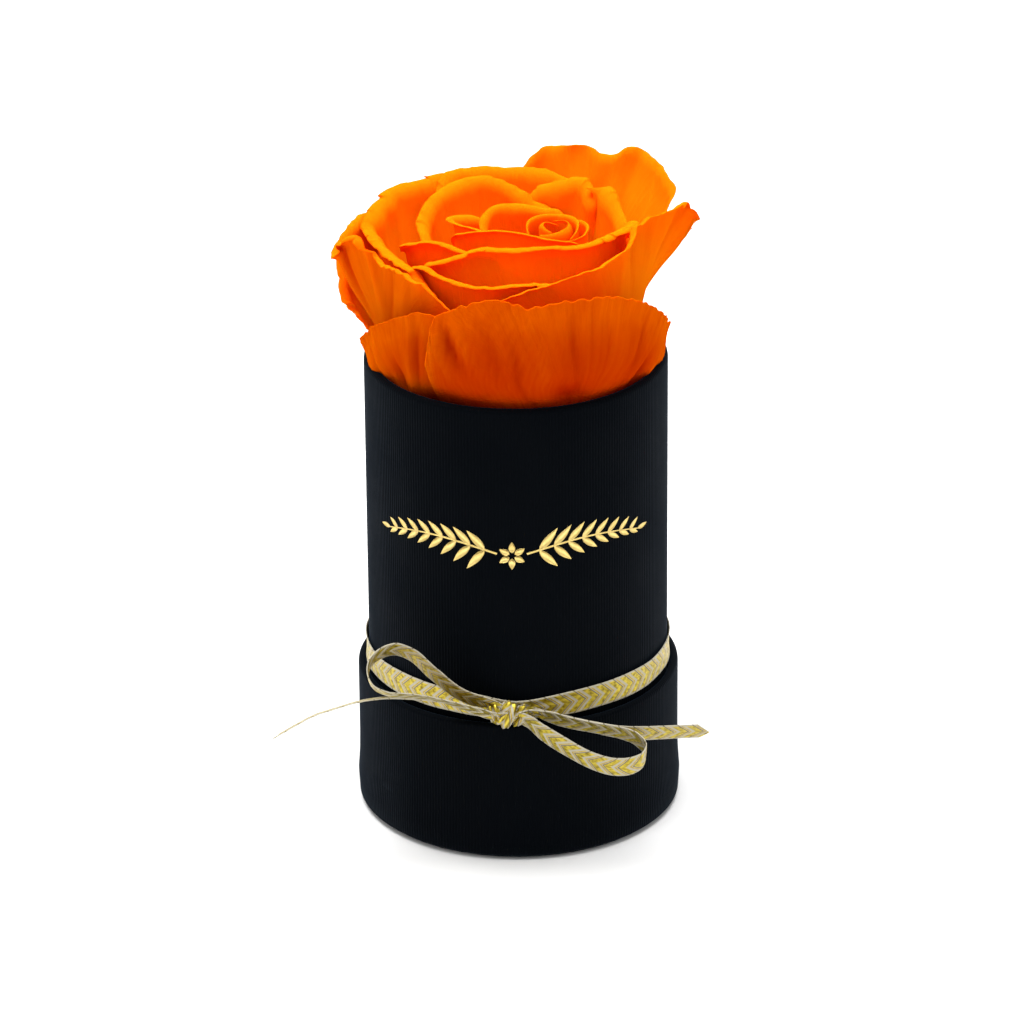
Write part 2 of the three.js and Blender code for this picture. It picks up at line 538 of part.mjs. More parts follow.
// The two loops of the bow and its two loose ends
const BOW = {
  ribbon_loop_left: [
    [-5.4, -38.1, 39.9, 57, 0.4], [-11.1, -37.8, 41.6, 57, 0.8], [-14.8, -37.4, 43.5, 57, 1],
    [-19.5, -37.2, 47.7, 57, 1], [-24.3, -37.2, 52.5, 56, 1], [-28.1, -37.5, 54.1, 54, 1],
    [-31.3, -39, 53.8, 50, 1], [-33.6, -41, 52.5, 45, 1], [-34.2, -43, 50.5, 40, 1],
    [-32.9, -44.5, 48.2, 36, 1], [-29.5, -45, 46.7, 34, 1], [-25.7, -44.5, 46.1, 34, 1],
    [-20.2, -43, 44.6, 34, 1], [-14.5, -41.8, 42.4, 36, 0.85], [-10, -41, 40.4, 40, 0.6],
    [-5.6, -39.8, 38.4, 45, 0.35],
  ],
  ribbon_loop_right: [
    [2.6, -38.6, 38.9, 52, 0.3], [6, -38.9, 38, 52, 0.6], [10.6, -39.2, 36.5, 52, 1],
    [16.4, -39.5, 35.2, 52, 1], [22.8, -39.8, 33.9, 54, 1], [26.9, -40.4, 32.5, 56, 1],
    [29, -41.8, 30.4, 60, 1], [28.4, -43.6, 28.5, 64, 1], [25.9, -44.9, 27.6, 68, 1],
    [21.7, -45.2, 27.5, 69, 1], [16.3, -44.6, 29, 69, 1], [9.9, -43, 32.1, 69, 1],
    [5.4, -41.4, 34.6, 66, 0.7], [2.6, -40, 36.4, 60, 0.4],
  ],
  ribbon_tail_left: [
    [-6.1, -37.1, 37.6, 30, 0.3], [-9, -36.8, 38.3, 26, 0.45], [-13, -36.9, 39.4, 25, 0.7],
    [-18, -37.3, 40.7, 25, 0.9], [-23.7, -38, 41.8, 25, 1], [-30.6, -38.4, 42.3, 25, 1],
    [-36.6, -39, 41.7, 25, 1], [-42.3, -39.4, 40.1, 25, 1], [-46.9, -39.5, 38.5, 25, 1],
    [-51.4, -39.4, 35.9, 25, 1], [-55.6, -39, 33.1, 25, 1],
  ],
  ribbon_tail_right: [
    [2.6, -37.3, 38.6, 52, 0.3], [6, -37.6, 37.6, 52, 0.5], [10.6, -37.95, 35.9, 52, 0.75],
    [16.4, -38.1, 34.5, 52, 0.95], [22.8, -38.2, 33.1, 55, 1], [28, -37.6, 32.4, 57, 1],
    [34.9, -36, 31.8, 57, 1], [41.9, -34.5, 31.3, 57, 1],
  ],
};
for (const [name, points] of Object.entries(BOW)) {
  add(name, ribbon(points, (points.length - 1) * 2), goldRibbon);
}

export default model;
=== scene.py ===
"""Looks of a round flower box with one preserved rose and a gold ribbon, around its CAD frame."""

import math

import bpy
import numpy as np
from mathutils import Matrix, Vector


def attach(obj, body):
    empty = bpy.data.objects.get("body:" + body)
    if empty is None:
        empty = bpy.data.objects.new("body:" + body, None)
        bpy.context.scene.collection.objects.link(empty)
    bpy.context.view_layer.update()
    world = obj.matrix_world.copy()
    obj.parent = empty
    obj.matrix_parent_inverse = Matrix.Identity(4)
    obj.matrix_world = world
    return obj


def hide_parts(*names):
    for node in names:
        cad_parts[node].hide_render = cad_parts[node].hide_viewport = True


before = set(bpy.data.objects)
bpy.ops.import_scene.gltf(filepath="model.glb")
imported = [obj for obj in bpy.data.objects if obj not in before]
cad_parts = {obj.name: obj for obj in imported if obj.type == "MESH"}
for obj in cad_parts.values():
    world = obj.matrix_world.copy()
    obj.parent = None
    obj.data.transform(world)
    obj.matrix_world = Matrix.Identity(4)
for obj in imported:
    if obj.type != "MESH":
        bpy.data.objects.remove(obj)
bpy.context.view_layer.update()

# Lengths are in millimetres until MM makes them metres, +Z up and the front towards -Y. Those in the
# materials, the camera's clipping and the studio are in metres. Azimuths are in degrees, 0 at the front and
# 90 at the right.
MM = 0.001

# The camera as the photograph has it
PICTURE_PIXELS = 1024
FOCAL_PIXELS = 5808
SENSOR_MM = 36
CAMERA_AIM = (-1.13, 0, 71.4)
CAMERA_DISTANCE = 1354
CAMERA_ELEVATION = 24.48
CAMERA_ROLL = -0.495

# The box, the lid that it stands in, and their ribbed paper
BOX_RADIUS = 35
BOX_FOOT = 2.7
BOX_TOP = 112.2
BOX_BOARD = 1.2
BOX_TURN_IN = 14
LID_RADIUS = 37.6
LID_FOOT = 0.55
LID_TOP = 34.5
LID_BOARD = 0.8
LID_TURN_IN = 12
PAPER = 0.3
GAP = 0.25
FLANGE_INNER_RADIUS = 28
RIM_ROWS = 7
RIM_SQUARENESS = 0.7
RIB_PITCH = 0.76
RIB_HEIGHT = 0.06
RIB_SAMPLES = 4
WALL_ROW_STEP = 5
SEAM_STEP = 0.22
SEAM_AZIMUTH = 176
LID_SWELL = 0.28
SCUFF_AZIMUTH = 305
SCUFF_HEIGHT = 9
SCUFF_DEPTH = 0.3

# The foam, the stem, the calyx and the sepals. Rings and lines are pairs of radius and height.
FOAM_RADIUS = 32.9
FOAM_FOOT = 4.8
FOAM_TOP = 85.6
STEM_RADIUS = 2.3
STEM_PLAY = 0.4
STEM_FOOT = 56
CALYX_BOTTOM = 86
CALYX_RINGS = [(1.5, 86.0), (2.8, 86.1), (3.6, 86.9), (4.2, 87.6), (4.8, 88.6), (5.2, 89.6)]
CALYX_BOWLS = (41, 36, 30, 25, 21, 17, 14, 11, 9, 6)
SEPAL_COUNT = 5
SEPAL_WIDTH = 7
SEPAL_LINE = [(5.5, 89.2), (8, 90.2), (12, 90.6), (16, 89.8), (20, 88)]

# The rose: nested bowls that lean towards the heart, each named by its radius at BOWL_FULL before it flares
BOWL_FOOT = 88
BOWL_FULL = 140
BOWL_POWER = 2.6
OUTER_BOWL = 36
HEART_X = 9.5
HEART_Y = -1.5
FLARE_START = 125
FLARE_SPAN = 20
PETAL_FOOT_LOW = 91.2
PETAL_FOOT_RISE = 7
PETAL_FOOT_BOWL = 41
PETAL_FOOT_WIDTH = 0.18
PETAL_FOOT_BLEND = 0.5
PETAL_FULL_WIDTH = 0.6
PETAL_COLUMN_STEP = 0.62
PETAL_FINE_ROWS = 90
PETAL_FINE_SPAN = 1.04
PETAL_MARGIN_ROW = round((PETAL_FINE_ROWS - 1) / PETAL_FINE_SPAN)
PETAL_BODY_ROWS = 24
PETAL_THICKNESS = 0.3
PETAL_LIP_ROWS = 9
PETAL_LIP_EASE = 1.25
PETAL_LIP_EDGE = (0.32, 0.28, 0.2, 0.08)
BUD_TURNS = 1.9
BUD_FOOT = 99
BUD_TOP = 138.6
BUD_CORE = 0.3
BUD_PITCH = 0.6

# The ribbon
RIBBON_WIDTH = 5.8
RIBBON_THICKNESS = 0.35
RIBBON_STEP = 0.3
RIBBON_COLUMNS = 22
CURVE_STEPS = 24
PLEAT_DEPTH = 0.75
PLEAT_TURN = 7.5
TIP_REACH = 6
BAND_HEIGHT = 38.6
BAND_GATHER = 14
BOW_FULLNESS = 1.35
LEFT_TAIL_LEAN = -2.5
KNOT_CENTRE = (-1.8, -38.1, 37.6)
KNOT_REACH = 0.6
KNOT_ROWS = 90
CHEVRON_PITCH = 3.5
CHEVRON_SLOPE = 1.05

# The stamped gold sprig on the front of the box. Its leaves get smaller from the flower outwards.
SPRIG_AZIMUTH = -2
SPRIG_HEIGHT = 77
SPRIG_HALF_LENGTH = 33
SPRIG_STEM_START = 3.4
SPRIG_STEM_POINTS = 40
SPRIG_LEAVES = 8
SPRIG_LEAF_START = 6.2
SPRIG_LEAF_STEP = 3.4
FLOWER_LEAVES = 6
FLOWER_RADIUS = 0.7
FLOWER_HEIGHT = -0.6
FOIL_FACE = 0.13
FOIL_BACK = 0.07


def clamped(value):
    return np.minimum(np.maximum(value, 0.0), 1.0)


def smooth(value):
    t = clamped(value)
    return t * t * (3 - 2 * t)


def hump(distance):
    """A bell curve that is 1 at no distance and about a third at 1."""
    return np.exp(-(distance**2))


def ripple(distance, wavelength, seed, octaves=3):
    """A smooth irregular line of about unit height: sines of unrelated lengths."""
    random = np.random.default_rng(seed)
    total = np.zeros_like(distance, dtype=float)
    for octave in range(octaves):
        for _ in range(3):
            wave = wavelength * random.uniform(0.7, 1.4) / 2**octave
            phase = random.uniform(0, 2 * math.pi)
            total += np.sin(2 * math.pi * distance / wave + phase) / 2**octave
    return total / 3


def vectors(*parts):
    """Vectors from their parts, each a number or an array."""
    return np.stack(np.broadcast_arrays(*parts), axis=-1)


def around(azimuth, radius, height):
    """Points at an azimuth, a radius from the box's axis and a height."""
    angle = np.radians(azimuth)
    return vectors(radius * np.sin(angle), -radius * np.cos(angle), height)


def whole_turn(count):
    """Azimuths at even steps all the way round."""
    return np.arange(count) * 360 / count


def unit(directions):
    return directions / np.maximum(np.linalg.norm(directions, axis=-1, keepdims=True), 1e-9)


def lengths_along(points):
    """How far along it each point of a line is, or each point of every column of a grid."""
    steps = np.linalg.norm(np.diff(points, axis=0), axis=-1)
    return np.concatenate([0 * steps[:1], np.cumsum(steps, axis=0)])


def grid_normals(grid):
    """Normals of a grid of points: along its columns' direction, crossed with up its rows."""
    return unit(np.cross(np.gradient(grid, axis=1), np.gradient(grid, axis=0)))


# Meshes


def new_object(name, data):
    made = bpy.data.objects.new(name, data)
    bpy.context.scene.collection.objects.link(made)
    return made


def make_mesh(name, points, faces, uv=None, marks=None):
    """A smooth-shaded object. Each point has a pair of lengths in uv and three numbers in marks."""
    mesh = bpy.data.meshes.new(name + "_look")
    mesh.from_pydata((np.asarray(points) * MM).tolist(), [], faces)
    mesh.shade_smooth()
    if uv is not None:
        corners = np.zeros(len(mesh.loops), int)
        mesh.loops.foreach_get("vertex_index", corners)
        layer = mesh.uv_layers.new(name="UVMap")
        layer.data.foreach_set("uv", np.asarray(uv, float)[corners].ravel())
    if marks is not None:
        layer = mesh.attributes.new("marks", "FLOAT_VECTOR", "POINT")
        layer.data.foreach_set("vector", np.asarray(marks, float).ravel())
    mesh.validate()
    return new_object(name + "_look", mesh)


def quads(numbers, turned=False):
    """The faces of a grid of point numbers."""
    corners = (numbers[:-1, :-1], numbers[:-1, 1:], numbers[1:, 1:], numbers[1:, :-1])
    faces = np.stack(corners, axis=-1).reshape(-1, 4)
    return (faces[:, ::-1] if turned else faces).tolist()


def strip(first, second):
    """The faces between two lines of point numbers."""
    return quads(np.stack([first, second], axis=1))


def sheet_mesh(name, middle, thickness, uv, marks_of=None, wrap_rows=False):
    """A closed sheet round a grid of middle points. thickness is one number for each point, and marks_of
    gives the marks of the front, for 1, and of the back, for 0."""
    count = middle.shape[0] * middle.shape[1]
    front = np.arange(count).reshape(middle.shape[:2])
    normals = grid_normals(middle)
    if wrap_rows:
        front = np.concatenate([front, front[:1]])
        normals = grid_normals(np.concatenate([middle[-1:], middle, middle[:1]]))[1:-1]
    back = front + count
    faces = quads(front) + quads(back, turned=True)
    faces += strip(back[:, 0], front[:, 0]) + strip(front[:, -1], back[:, -1])
    if not wrap_rows:
        faces += strip(front[0], back[0]) + strip(back[-1], front[-1])
    half = normals * (thickness[..., None] / 2)
    points = np.concatenate([(middle + half).reshape(-1, 3), (middle - half).reshape(-1, 3)])
    both_uv = np.concatenate([uv.reshape(-1, 2)] * 2)
    marks = marks_of and np.concatenate([marks_of(side).reshape(-1, 3) for side in (1, 0)])
    return make_mesh(name, points, faces, both_uv, marks)


def turned_mesh(name, grid, closed_profile=False):
    """A body from rings of points, each row a ring. Open profiles get a point at each end."""
    points = grid.reshape(-1, 3)
    numbers = np.arange(len(points)).reshape(grid.shape[:2])
    numbers = np.concatenate([numbers, numbers[:, :1]], axis=1)
    if closed_profile:
        return make_mesh(name, points, quads(np.concatenate([numbers, numbers[:1]])))
    faces = quads(numbers)
    below, above = len(points), len(points) + 1
    low, high = numbers[0].tolist(), numbers[-1].tolist()
    for n in range(len(low) - 1):
        faces += [(below, low[n + 1], low[n]), (above, high[n], high[n + 1])]
    ends = np.stack([grid[0].mean(axis=0), grid[-1].mean(axis=0)])
    return make_mesh(name, np.concatenate([points, ends]), faces)


def place(piece, material, slot, nodes=()):
    """Puts a piece on the object, in place of the CAD nodes that it stands for."""
    piece.data.materials.append(material)
    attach(piece, "root")
    if nodes:
        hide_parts(*nodes)
    return piece


# Materials


class Nodes:
    """Short ways to make and join the nodes of one material. Inputs are named with _ for a space."""

    def __init__(self, name):
        self.material = bpy.data.materials.new(name)
        self.material.use_nodes = True
        self.tree = self.material.node_tree
        self.tree.nodes.clear()
        self.shader = self.add("ShaderNodeBsdfPrincipled")
        self.add("ShaderNodeOutputMaterial", Surface=self.shader.outputs["BSDF"])

    def give(self, socket, value):
        if isinstance(value, bpy.types.NodeSocket):
            self.tree.links.new(value, socket)
        else:
            socket.default_value = value

    def fill(self, node, values):
        for key, value in values.items():
            self.give(node.inputs[key.replace("_", " ")], value)
        return node

    def add(self, kind, **values):
        """A node of one kind, with its named inputs set to numbers or joined to sockets."""
        return self.fill(self.tree.nodes.new(kind), values)

    def surface(self, **values):
        self.fill(self.shader, values)

    def math(self, operation, first, second=0.0):
        node = self.add("ShaderNodeMath")
        node.operation = operation
        self.give(node.inputs[0], first)
        self.give(node.inputs[1], second)
        return node.outputs[0]

    def noise(self, vector, scale, detail=3.0, roughness=0.55):
        node = self.add("ShaderNodeTexNoise", Vector=vector, Scale=scale, Detail=detail, Roughness=roughness)
        return node.outputs["Fac"]

    def stretched(self, vector, scale):
        return self.add("ShaderNodeMapping", Vector=vector, Scale=scale).outputs["Vector"]

    def between(self, share, low, high):
        """A colour between two, by share."""
        node = self.add("ShaderNodeMix")
        node.data_type = "RGBA"
        self.give(node.inputs["Factor"], share)
        self.give(node.inputs[6], (*low, 1.0) if isinstance(low, tuple) else low)
        self.give(node.inputs[7], (*high, 1.0) if isinstance(high, tuple) else high)
        return node.outputs[2]

    def ranged(self, value, low, high, to_low=0.0, to_high=1.0):
        node = self.add(
            "ShaderNodeMapRange", Value=value, From_Min=low, From_Max=high, To_Min=to_low, To_Max=to_high
        )
        return node.outputs["Result"]

    def bump(self, height, strength, distance):
        node = self.add("ShaderNodeBump", Height=height, Strength=strength, Distance=distance)
        return node.outputs["Normal"]

    def place_in_object(self):
        return self.add("ShaderNodeTexCoord").outputs["Object"]

    def uv(self):
        return self.add("ShaderNodeUVMap").outputs["UV"]

    def parts(self, vector):
        return self.add("ShaderNodeSeparateXYZ", Vector=vector).outputs

    def marks(self):
        attribute = self.add("ShaderNodeAttribute")
        attribute.attribute_name = "marks"
        return self.parts(attribute.outputs["Vector"])


def black_paper():
    n = Nodes("black ribbed paper")
    spot = n.place_in_object()
    fibres = n.noise(n.stretched(spot, (1, 1, 0.35)), 2600, 4)
    clouds = n.noise(spot, 60)
    scuffs = n.ranged(n.noise(spot, 420, 5, 0.7), 0.66, 0.8)
    colour = n.between(fibres, (0.0003, 0.0006, 0.0011), (0.0009, 0.0016, 0.0028))
    colour = n.between(n.math("MULTIPLY", scuffs, 0.25), colour, (0.01, 0.013, 0.018))
    n.surface(Base_Color=colour, Roughness=n.ranged(clouds, 0.3, 0.7, 0.56, 0.7))
    n.surface(Specular_IOR_Level=0.02, Sheen_Weight=0.05, Sheen_Roughness=0.4)
    n.surface(Sheen_Tint=(0.45, 0.68, 1.0, 1.0))
    n.surface(Normal=n.bump(fibres, 0.35, 0.00006))
    return n.material


def greyboard():
    n = Nodes("greyboard")
    spot = n.place_in_object()
    fibres = n.noise(spot, 1500, 5)
    flecks = n.ranged(n.noise(spot, 3800, 2), 0.62, 0.72)
    colour = n.between(fibres, (0.2, 0.18, 0.15), (0.34, 0.31, 0.27))
    colour = n.between(flecks, colour, (0.1, 0.09, 0.08))
    n.surface(Base_Color=colour, Roughness=0.95, Normal=n.bump(fibres, 0.5, 0.0002))
    return n.material


def dry_foam():
    n = Nodes("black dry foam")
    cells = n.add("ShaderNodeTexVoronoi", Vector=n.place_in_object(), Scale=1800.0).outputs["Distance"]
    colour = n.between(cells, (0.02, 0.024, 0.022), (0.006, 0.007, 0.006))
    n.surface(Base_Color=colour, Roughness=1.0, Normal=n.bump(cells, 0.8, 0.0003))
    return n.material


def dried_green():
    n = Nodes("dried green")
    spot = n.place_in_object()
    streaks = n.noise(n.stretched(spot, (1, 1, 0.1)), 1300, 4)
    patches = n.noise(spot, 240)
    colour = n.between(patches, (0.05, 0.085, 0.018), (0.16, 0.16, 0.045))
    colour = n.between(n.math("MULTIPLY", streaks, 0.5), colour, (0.2, 0.14, 0.06))
    n.surface(Base_Color=colour, Roughness=0.75, Normal=n.bump(streaks, 0.4, 0.0002))
    return n.material


# The petals' colours, each on the outer and the inner face: their own colour at the margin, painted depth
# further in, vein streaks and painted fold shade
PETAL_MARGIN = (0.58, 0.088, 0.0), (1.0, 0.135, 0.001)
# Painted depth: painted shade darkens the outer face further in, and painted light makes the inner face
# yellower there
PETAL_PAINTED_DEEP = (0.35, 0.014, 0.0), (1.0, 0.29, 0.002)
PETAL_STREAK = (0.38, 0.026, 0.0), (0.99, 0.17, 0.001)
# Painted shade in folds and in veins that sink in
PETAL_FOLD_SHADE = (0.28, 0.008, 0.0), (0.8, 0.05, 0.0)


def preserved_petal():
    """Soft waxy orange. Painted shade makes folds and veins that sink in darker and redder. Further in from
    the margin, painted shade makes the outer face darker and redder and painted light makes the inner face
    yellower."""
    n = Nodes("preserved orange petal")
    # The marks: which face, painted depth, and painted shading of folds and veins
    inner, depth, fold = n.marks()
    streaks = n.noise(n.stretched(n.uv(), (0.95, 0.05, 1)), 1.0, 4, 0.6)
    fine = n.noise(n.stretched(n.uv(), (3.2, 0.16, 1)), 1.0, 3, 0.6)
    grain = n.noise(n.place_in_object(), 2600, 3, 0.6)
    clouds = n.noise(n.place_in_object(), 130)
    colours = (PETAL_MARGIN, PETAL_PAINTED_DEEP, PETAL_STREAK, PETAL_FOLD_SHADE)
    face, painted_deep, shade, folded = (n.between(inner, *pair) for pair in colours)
    # Painted depth from the margin: painted shade on the outer face, painted light on the inner face
    colour = n.between(depth, face, painted_deep)
    colour = n.between(n.ranged(streaks, 0.35, 0.7, 0.0, 0.3), colour, shade)
    colour = n.between(n.ranged(fine, 0.45, 0.7, 0.0, 0.22), colour, shade)
    colour = n.between(n.ranged(clouds, 0.35, 0.7, 0.0, 0.3), colour, shade)
    # Painted shade in folds and veins that sink in; those that stand out are painted back towards the
    # margin's colour
    colour = n.between(n.ranged(fold, 0.5, 0.0, 0.0, 0.85), colour, folded)
    colour = n.between(n.ranged(fold, 0.5, 1.0, 0.0, 0.5), colour, face)
    relief = n.math("ADD", n.math("MULTIPLY", streaks, 0.6), n.math("MULTIPLY", fine, 0.4))
    relief = n.math("ADD", relief, n.math("MULTIPLY", grain, 0.16))
    n.surface(Base_Color=colour, Roughness=0.75, Specular_IOR_Level=0.0)
    n.surface(Subsurface_Weight=0.3, Subsurface_Scale=0.0016, Subsurface_Radius=(1.0, 0.3, 0.04))
    n.surface(Normal=n.bump(relief, 0.6, 0.0004))
    return n.material


def woven_ribbon():
    """Gold chevron weave on a pale ground, with a plain pale selvedge along both edges."""
    n = Nodes("gold chevron ribbon")
    along, side, _ = n.parts(n.uv())
    side = n.math("ABSOLUTE", side)
    folded = n.math("MULTIPLY", side, CHEVRON_SLOPE)
    row = n.math("FRACT", n.math("DIVIDE", n.math("ADD", along, folded), CHEVRON_PITCH))

    def row_between(low, high, edge):
        return n.math("MULTIPLY", n.ranged(row, low, low + edge), n.ranged(row, high, high - edge))

    line_row = row_between(0.66, 0.81, 0.03)
    # Painted shadow on the pale ground along one edge of each raised gold row
    painted_shadow_row = row_between(0.5, 0.62, 0.03)
    gold = n.math("MAXIMUM", row_between(0.02, 0.54, 0.04), line_row)
    gold = n.math("MULTIPLY", gold, n.ranged(side, 2.6, 2.45))
    threads = n.noise(n.stretched(n.uv(), (0.6, 9.0, 1)), 1.0, 3, 0.6)
    glints = n.noise(n.stretched(n.uv(), (0.9, 1.4, 1)), 1.0, 2, 0.5)
    pale = n.between(threads, (0.31, 0.28, 0.2), (0.5, 0.46, 0.35))
    metal = n.between(n.ranged(glints, 0.3, 0.6), (0.2, 0.145, 0.014), (0.58, 0.45, 0.05))
    # Painted shadow darkens the pale ground beside each gold row
    pale = n.between(n.math("MULTIPLY", painted_shadow_row, 0.9), pale, (0.07, 0.045, 0.01))
    metal = n.between(n.math("MULTIPLY", line_row, 0.45), metal, (0.45, 0.27, 0.03))
    n.surface(Base_Color=n.between(gold, pale, metal))
    n.surface(Metallic=n.math("MULTIPLY", gold, 0.9))
    n.surface(Roughness=n.ranged(n.math("MULTIPLY", gold, glints), 0.0, 0.6, 0.6, 0.3))
    n.surface(Normal=n.bump(n.math("ADD", threads, glints), 0.45, 0.0002))
    return n.material


def gold_foil():
    n = Nodes("stamped gold foil")
    wear = n.noise(n.place_in_object(), 900, 4)
    colour = n.between(wear, (0.62, 0.43, 0.11), (0.95, 0.74, 0.28))
    n.surface(Base_Color=colour, Metallic=0.9, Roughness=n.ranged(wear, 0.3, 0.7, 0.42, 0.3))
    return n.material


def white_floor():
    n = Nodes("pale studio floor")
    clouds = n.noise(n.place_in_object(), 3, 2)
    n.surface(Base_Color=n.between(clouds, (0.73, 0.73, 0.73), (0.75, 0.75, 0.75)), Roughness=0.9)
    n.surface(Specular_IOR_Level=0.0)
    return n.material


# Camera


def add_camera():
    elevation = math.radians(CAMERA_ELEVATION)
    offset = Vector((0, -math.cos(elevation), math.sin(elevation))) * CAMERA_DISTANCE
    camera = new_object("Camera", bpy.data.cameras.new("Camera"))
    camera.data.sensor_width = SENSOR_MM
    camera.data.lens = FOCAL_PIXELS / PICTURE_PIXELS * SENSOR_MM
    camera.data.clip_start = 0.05
    tilt = Matrix.Rotation(math.pi / 2 - elevation, 4, "X")
    roll = Matrix.Rotation(math.radians(CAMERA_ROLL), 4, "Z")
    camera.matrix_world = Matrix.Translation((Vector(CAMERA_AIM) + offset) * MM) @ (tilt @ roll)
    bpy.context.scene.camera = camera


add_camera()

# The bow's loops and loose ends. Each point is a place, the tilt of the ribbon's width in degrees above the
# horizontal as seen from the right, and its share of the full width, before BOW_FULLNESS widens it up to 1.
BOW = {
    "ribbon_loop_left": [
        (-5.4, -38.1, 39.9, 57, 0.4), (-11.1, -37.8, 41.6, 57, 0.8), (-14.8, -37.4, 43.5, 57, 1),
        (-19.5, -37.2, 47.7, 57, 1), (-24.3, -37.2, 52.5, 56, 1), (-28.1, -37.5, 54.1, 54, 1),
        (-31.3, -39, 53.8, 50, 1), (-33.6, -41, 52.5, 45, 1), (-34.2, -43, 50.5, 40, 1),
        (-32.9, -44.5, 48.2, 36, 1), (-29.5, -45, 46.7, 34, 1), (-25.7, -44.5, 46.1, 34, 1),
        (-20.2, -43, 44.6, 34, 1), (-14.5, -41.8, 42.4, 36, 0.95), (-10, -41, 40.4, 40, 0.8),
        (-5.6, -39.8, 38.4, 45, 0.6),
    ],
    "ribbon_loop_right": [
        (2.6, -38.6, 38.9, 52, 0.3), (6, -38.9, 38, 52, 0.6), (10.6, -39.2, 36.5, 52, 1),
        (16.4, -39.5, 35.2, 52, 1), (22.8, -39.8, 33.9, 54, 1), (26.9, -40.4, 32.5, 56, 1),
        (29, -41.8, 30.4, 60, 1), (28.4, -43.6, 28.5, 64, 1), (25.9, -44.9, 27.6, 68, 1),
        (21.7, -45.2, 27.5, 69, 1), (16.3, -44.6, 29, 69, 1), (9.9, -43, 32.1, 69, 1),
        (5.4, -41.4, 34.6, 66, 0.9), (2.6, -40, 36.4, 60, 0.7),
    ],
    "ribbon_tail_left": [
        (-6.1, -37.1, 37.6, 30, 0.3), (-9, -36.8, 38.3, 26, 0.45), (-13, -36.9, 39.4, 25, 0.7),
        (-18, -37.3, 40.7, 25, 0.9), (-23.7, -38, 41.8, 25, 1), (-30.6, -38.4, 42.3, 25, 1),
        (-36.6, -39, 41.7, 25, 1), (-42.3, -39.4, 40.1, 25, 1), (-46.9, -39.5, 38.5, 25, 1),
        (-51.4, -39.4, 35.9, 25, 1), (-55.6, -39, 33.1, 25, 1),
    ],
    "ribbon_tail_right": [
        (2.6, -37.3, 38.6, 52, 0.3), (6, -37.6, 37.6, 52, 0.5), (10.6, -37.95, 35.9, 52, 0.75),
        (16.4, -38.1, 34.5, 52, 0.95), (22.8, -38.2, 33.1, 55, 1), (28, -37.6, 32.4, 57, 1),
        (34.9, -36, 31.8, 57, 1), (41.9, -34.5, 31.3, 57, 1),
    ],
}


def curve_points(points, steps):
    """Points along a centripetal Catmull-Rom curve through the points, and the values beside them."""
    places = np.array([p[:3] for p in points], float)
    beside = np.array([p[3:] for p in points], float)
    before_first, after_last = 2 * places[0] - places[1], 2 * places[-1] - places[-2]
    padded = np.concatenate([[before_first], places, [after_last]])
    knots = np.maximum(np.linalg.norm(np.diff(padded, axis=0), axis=1) ** 0.5, 1e-3)
    place = np.arange(steps + 1) / steps * (len(places) - 1)
    k = np.minimum(place.astype(int), len(places) - 2)
    t = (place - k)[:, None]
    a, b, c, d = (padded[k + n] for n in range(4))
    before, here, after = (knots[k + n][:, None] for n in range(3))
    leaving = ((b - a) / before - (c - a) / (before + here) + (c - b) / here) * here
    arriving = ((c - b) / here - (d - b) / (here + after) + (d - c) / after) * here
    bend = 3 * (c - b) - 2 * leaving - arriving
    turn = 2 * (b - c) + leaving + arriving
    line = b + t * (leaving + t * (bend + t * turn))
    return line, beside[k] * (1 - t) + beside[k + 1] * t


def evened(line, values, step):
    """The line and its values again at an even step of length."""
    lengths = lengths_along(line)
    count = max(2, round(lengths[-1] / step) + 1)
    at = np.linspace(0, lengths[-1], count)
    both = np.concatenate([line, values], axis=1)
    again = np.stack([np.interp(at, lengths, both[:, n]) for n in range(both.shape[1])], axis=1)
    return again[:, :3], again[:, 3:], at


def chevrons(along, side):
    """Height share of the weave: gold rows stand a little proud of the pale ground."""
    row = (along + np.abs(side) * CHEVRON_SLOPE) / CHEVRON_PITCH % 1
    proud = smooth((row - 0.02) / 0.1) * smooth((0.56 - row) / 0.1)
    line = smooth((row - 0.64) / 0.06) * smooth((0.84 - row) / 0.06)
    return np.maximum(proud, 0.6 * line) * (np.abs(side) < 2.5)


def ribbon_piece(name, centre, across, along, widths, material, tip=None, closed=False, sway=0.08):
    """A woven ribbon: selvedge beads, raised chevrons and, where it is drawn narrow, soft pleats."""
    shares = np.linspace(-1, 1, RIBBON_COLUMNS)
    tangent = unit(np.gradient(centre, axis=0))
    normal = unit(np.cross(tangent, across))
    side = np.broadcast_to(shares * RIBBON_WIDTH / 2, (len(centre), RIBBON_COLUMNS))
    lengths = np.broadcast_to(along[:, None], side.shape)
    if tip is not None:
        near_end = smooth((along - along[-1] + TIP_REACH) / TIP_REACH)
        lengths = lengths + tip(shares) * near_end[:, None]
    pleat = (1 - widths)[:, None] * PLEAT_DEPTH * np.cos(shares * PLEAT_TURN)
    cup = 2 * sway * shares**2 + sway * np.sin(lengths / 3.1 + 2 * shares)
    lift = (pleat + cup)[..., None] * normal[:, None, :]
    middle = centre[:, None, :] + across[:, None, :] * (side * widths[:, None])[..., None] + lift
    middle = middle + tangent[:, None, :] * (lengths - along[:, None])[..., None]
    edge = np.maximum(0, np.abs(shares) - 0.9) / 0.1
    thickness = RIBBON_THICKNESS * (0.55 + 0.35 * chevrons(lengths, side) + 0.35 * np.sin(edge * math.pi))
    uv = vectors(lengths, side)
    piece = sheet_mesh(name, middle, thickness, uv, wrap_rows=closed)
    return place(piece, material, "gold_ribbon", [name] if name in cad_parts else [])


def into_knot(point):
    """A point that carries the ribbon on from its end into the knot."""
    inward = [p + KNOT_REACH * (k - p) for p, k in zip(point[:3], KNOT_CENTRE)]
    return (*inward, point[3], 0.9 * point[4])


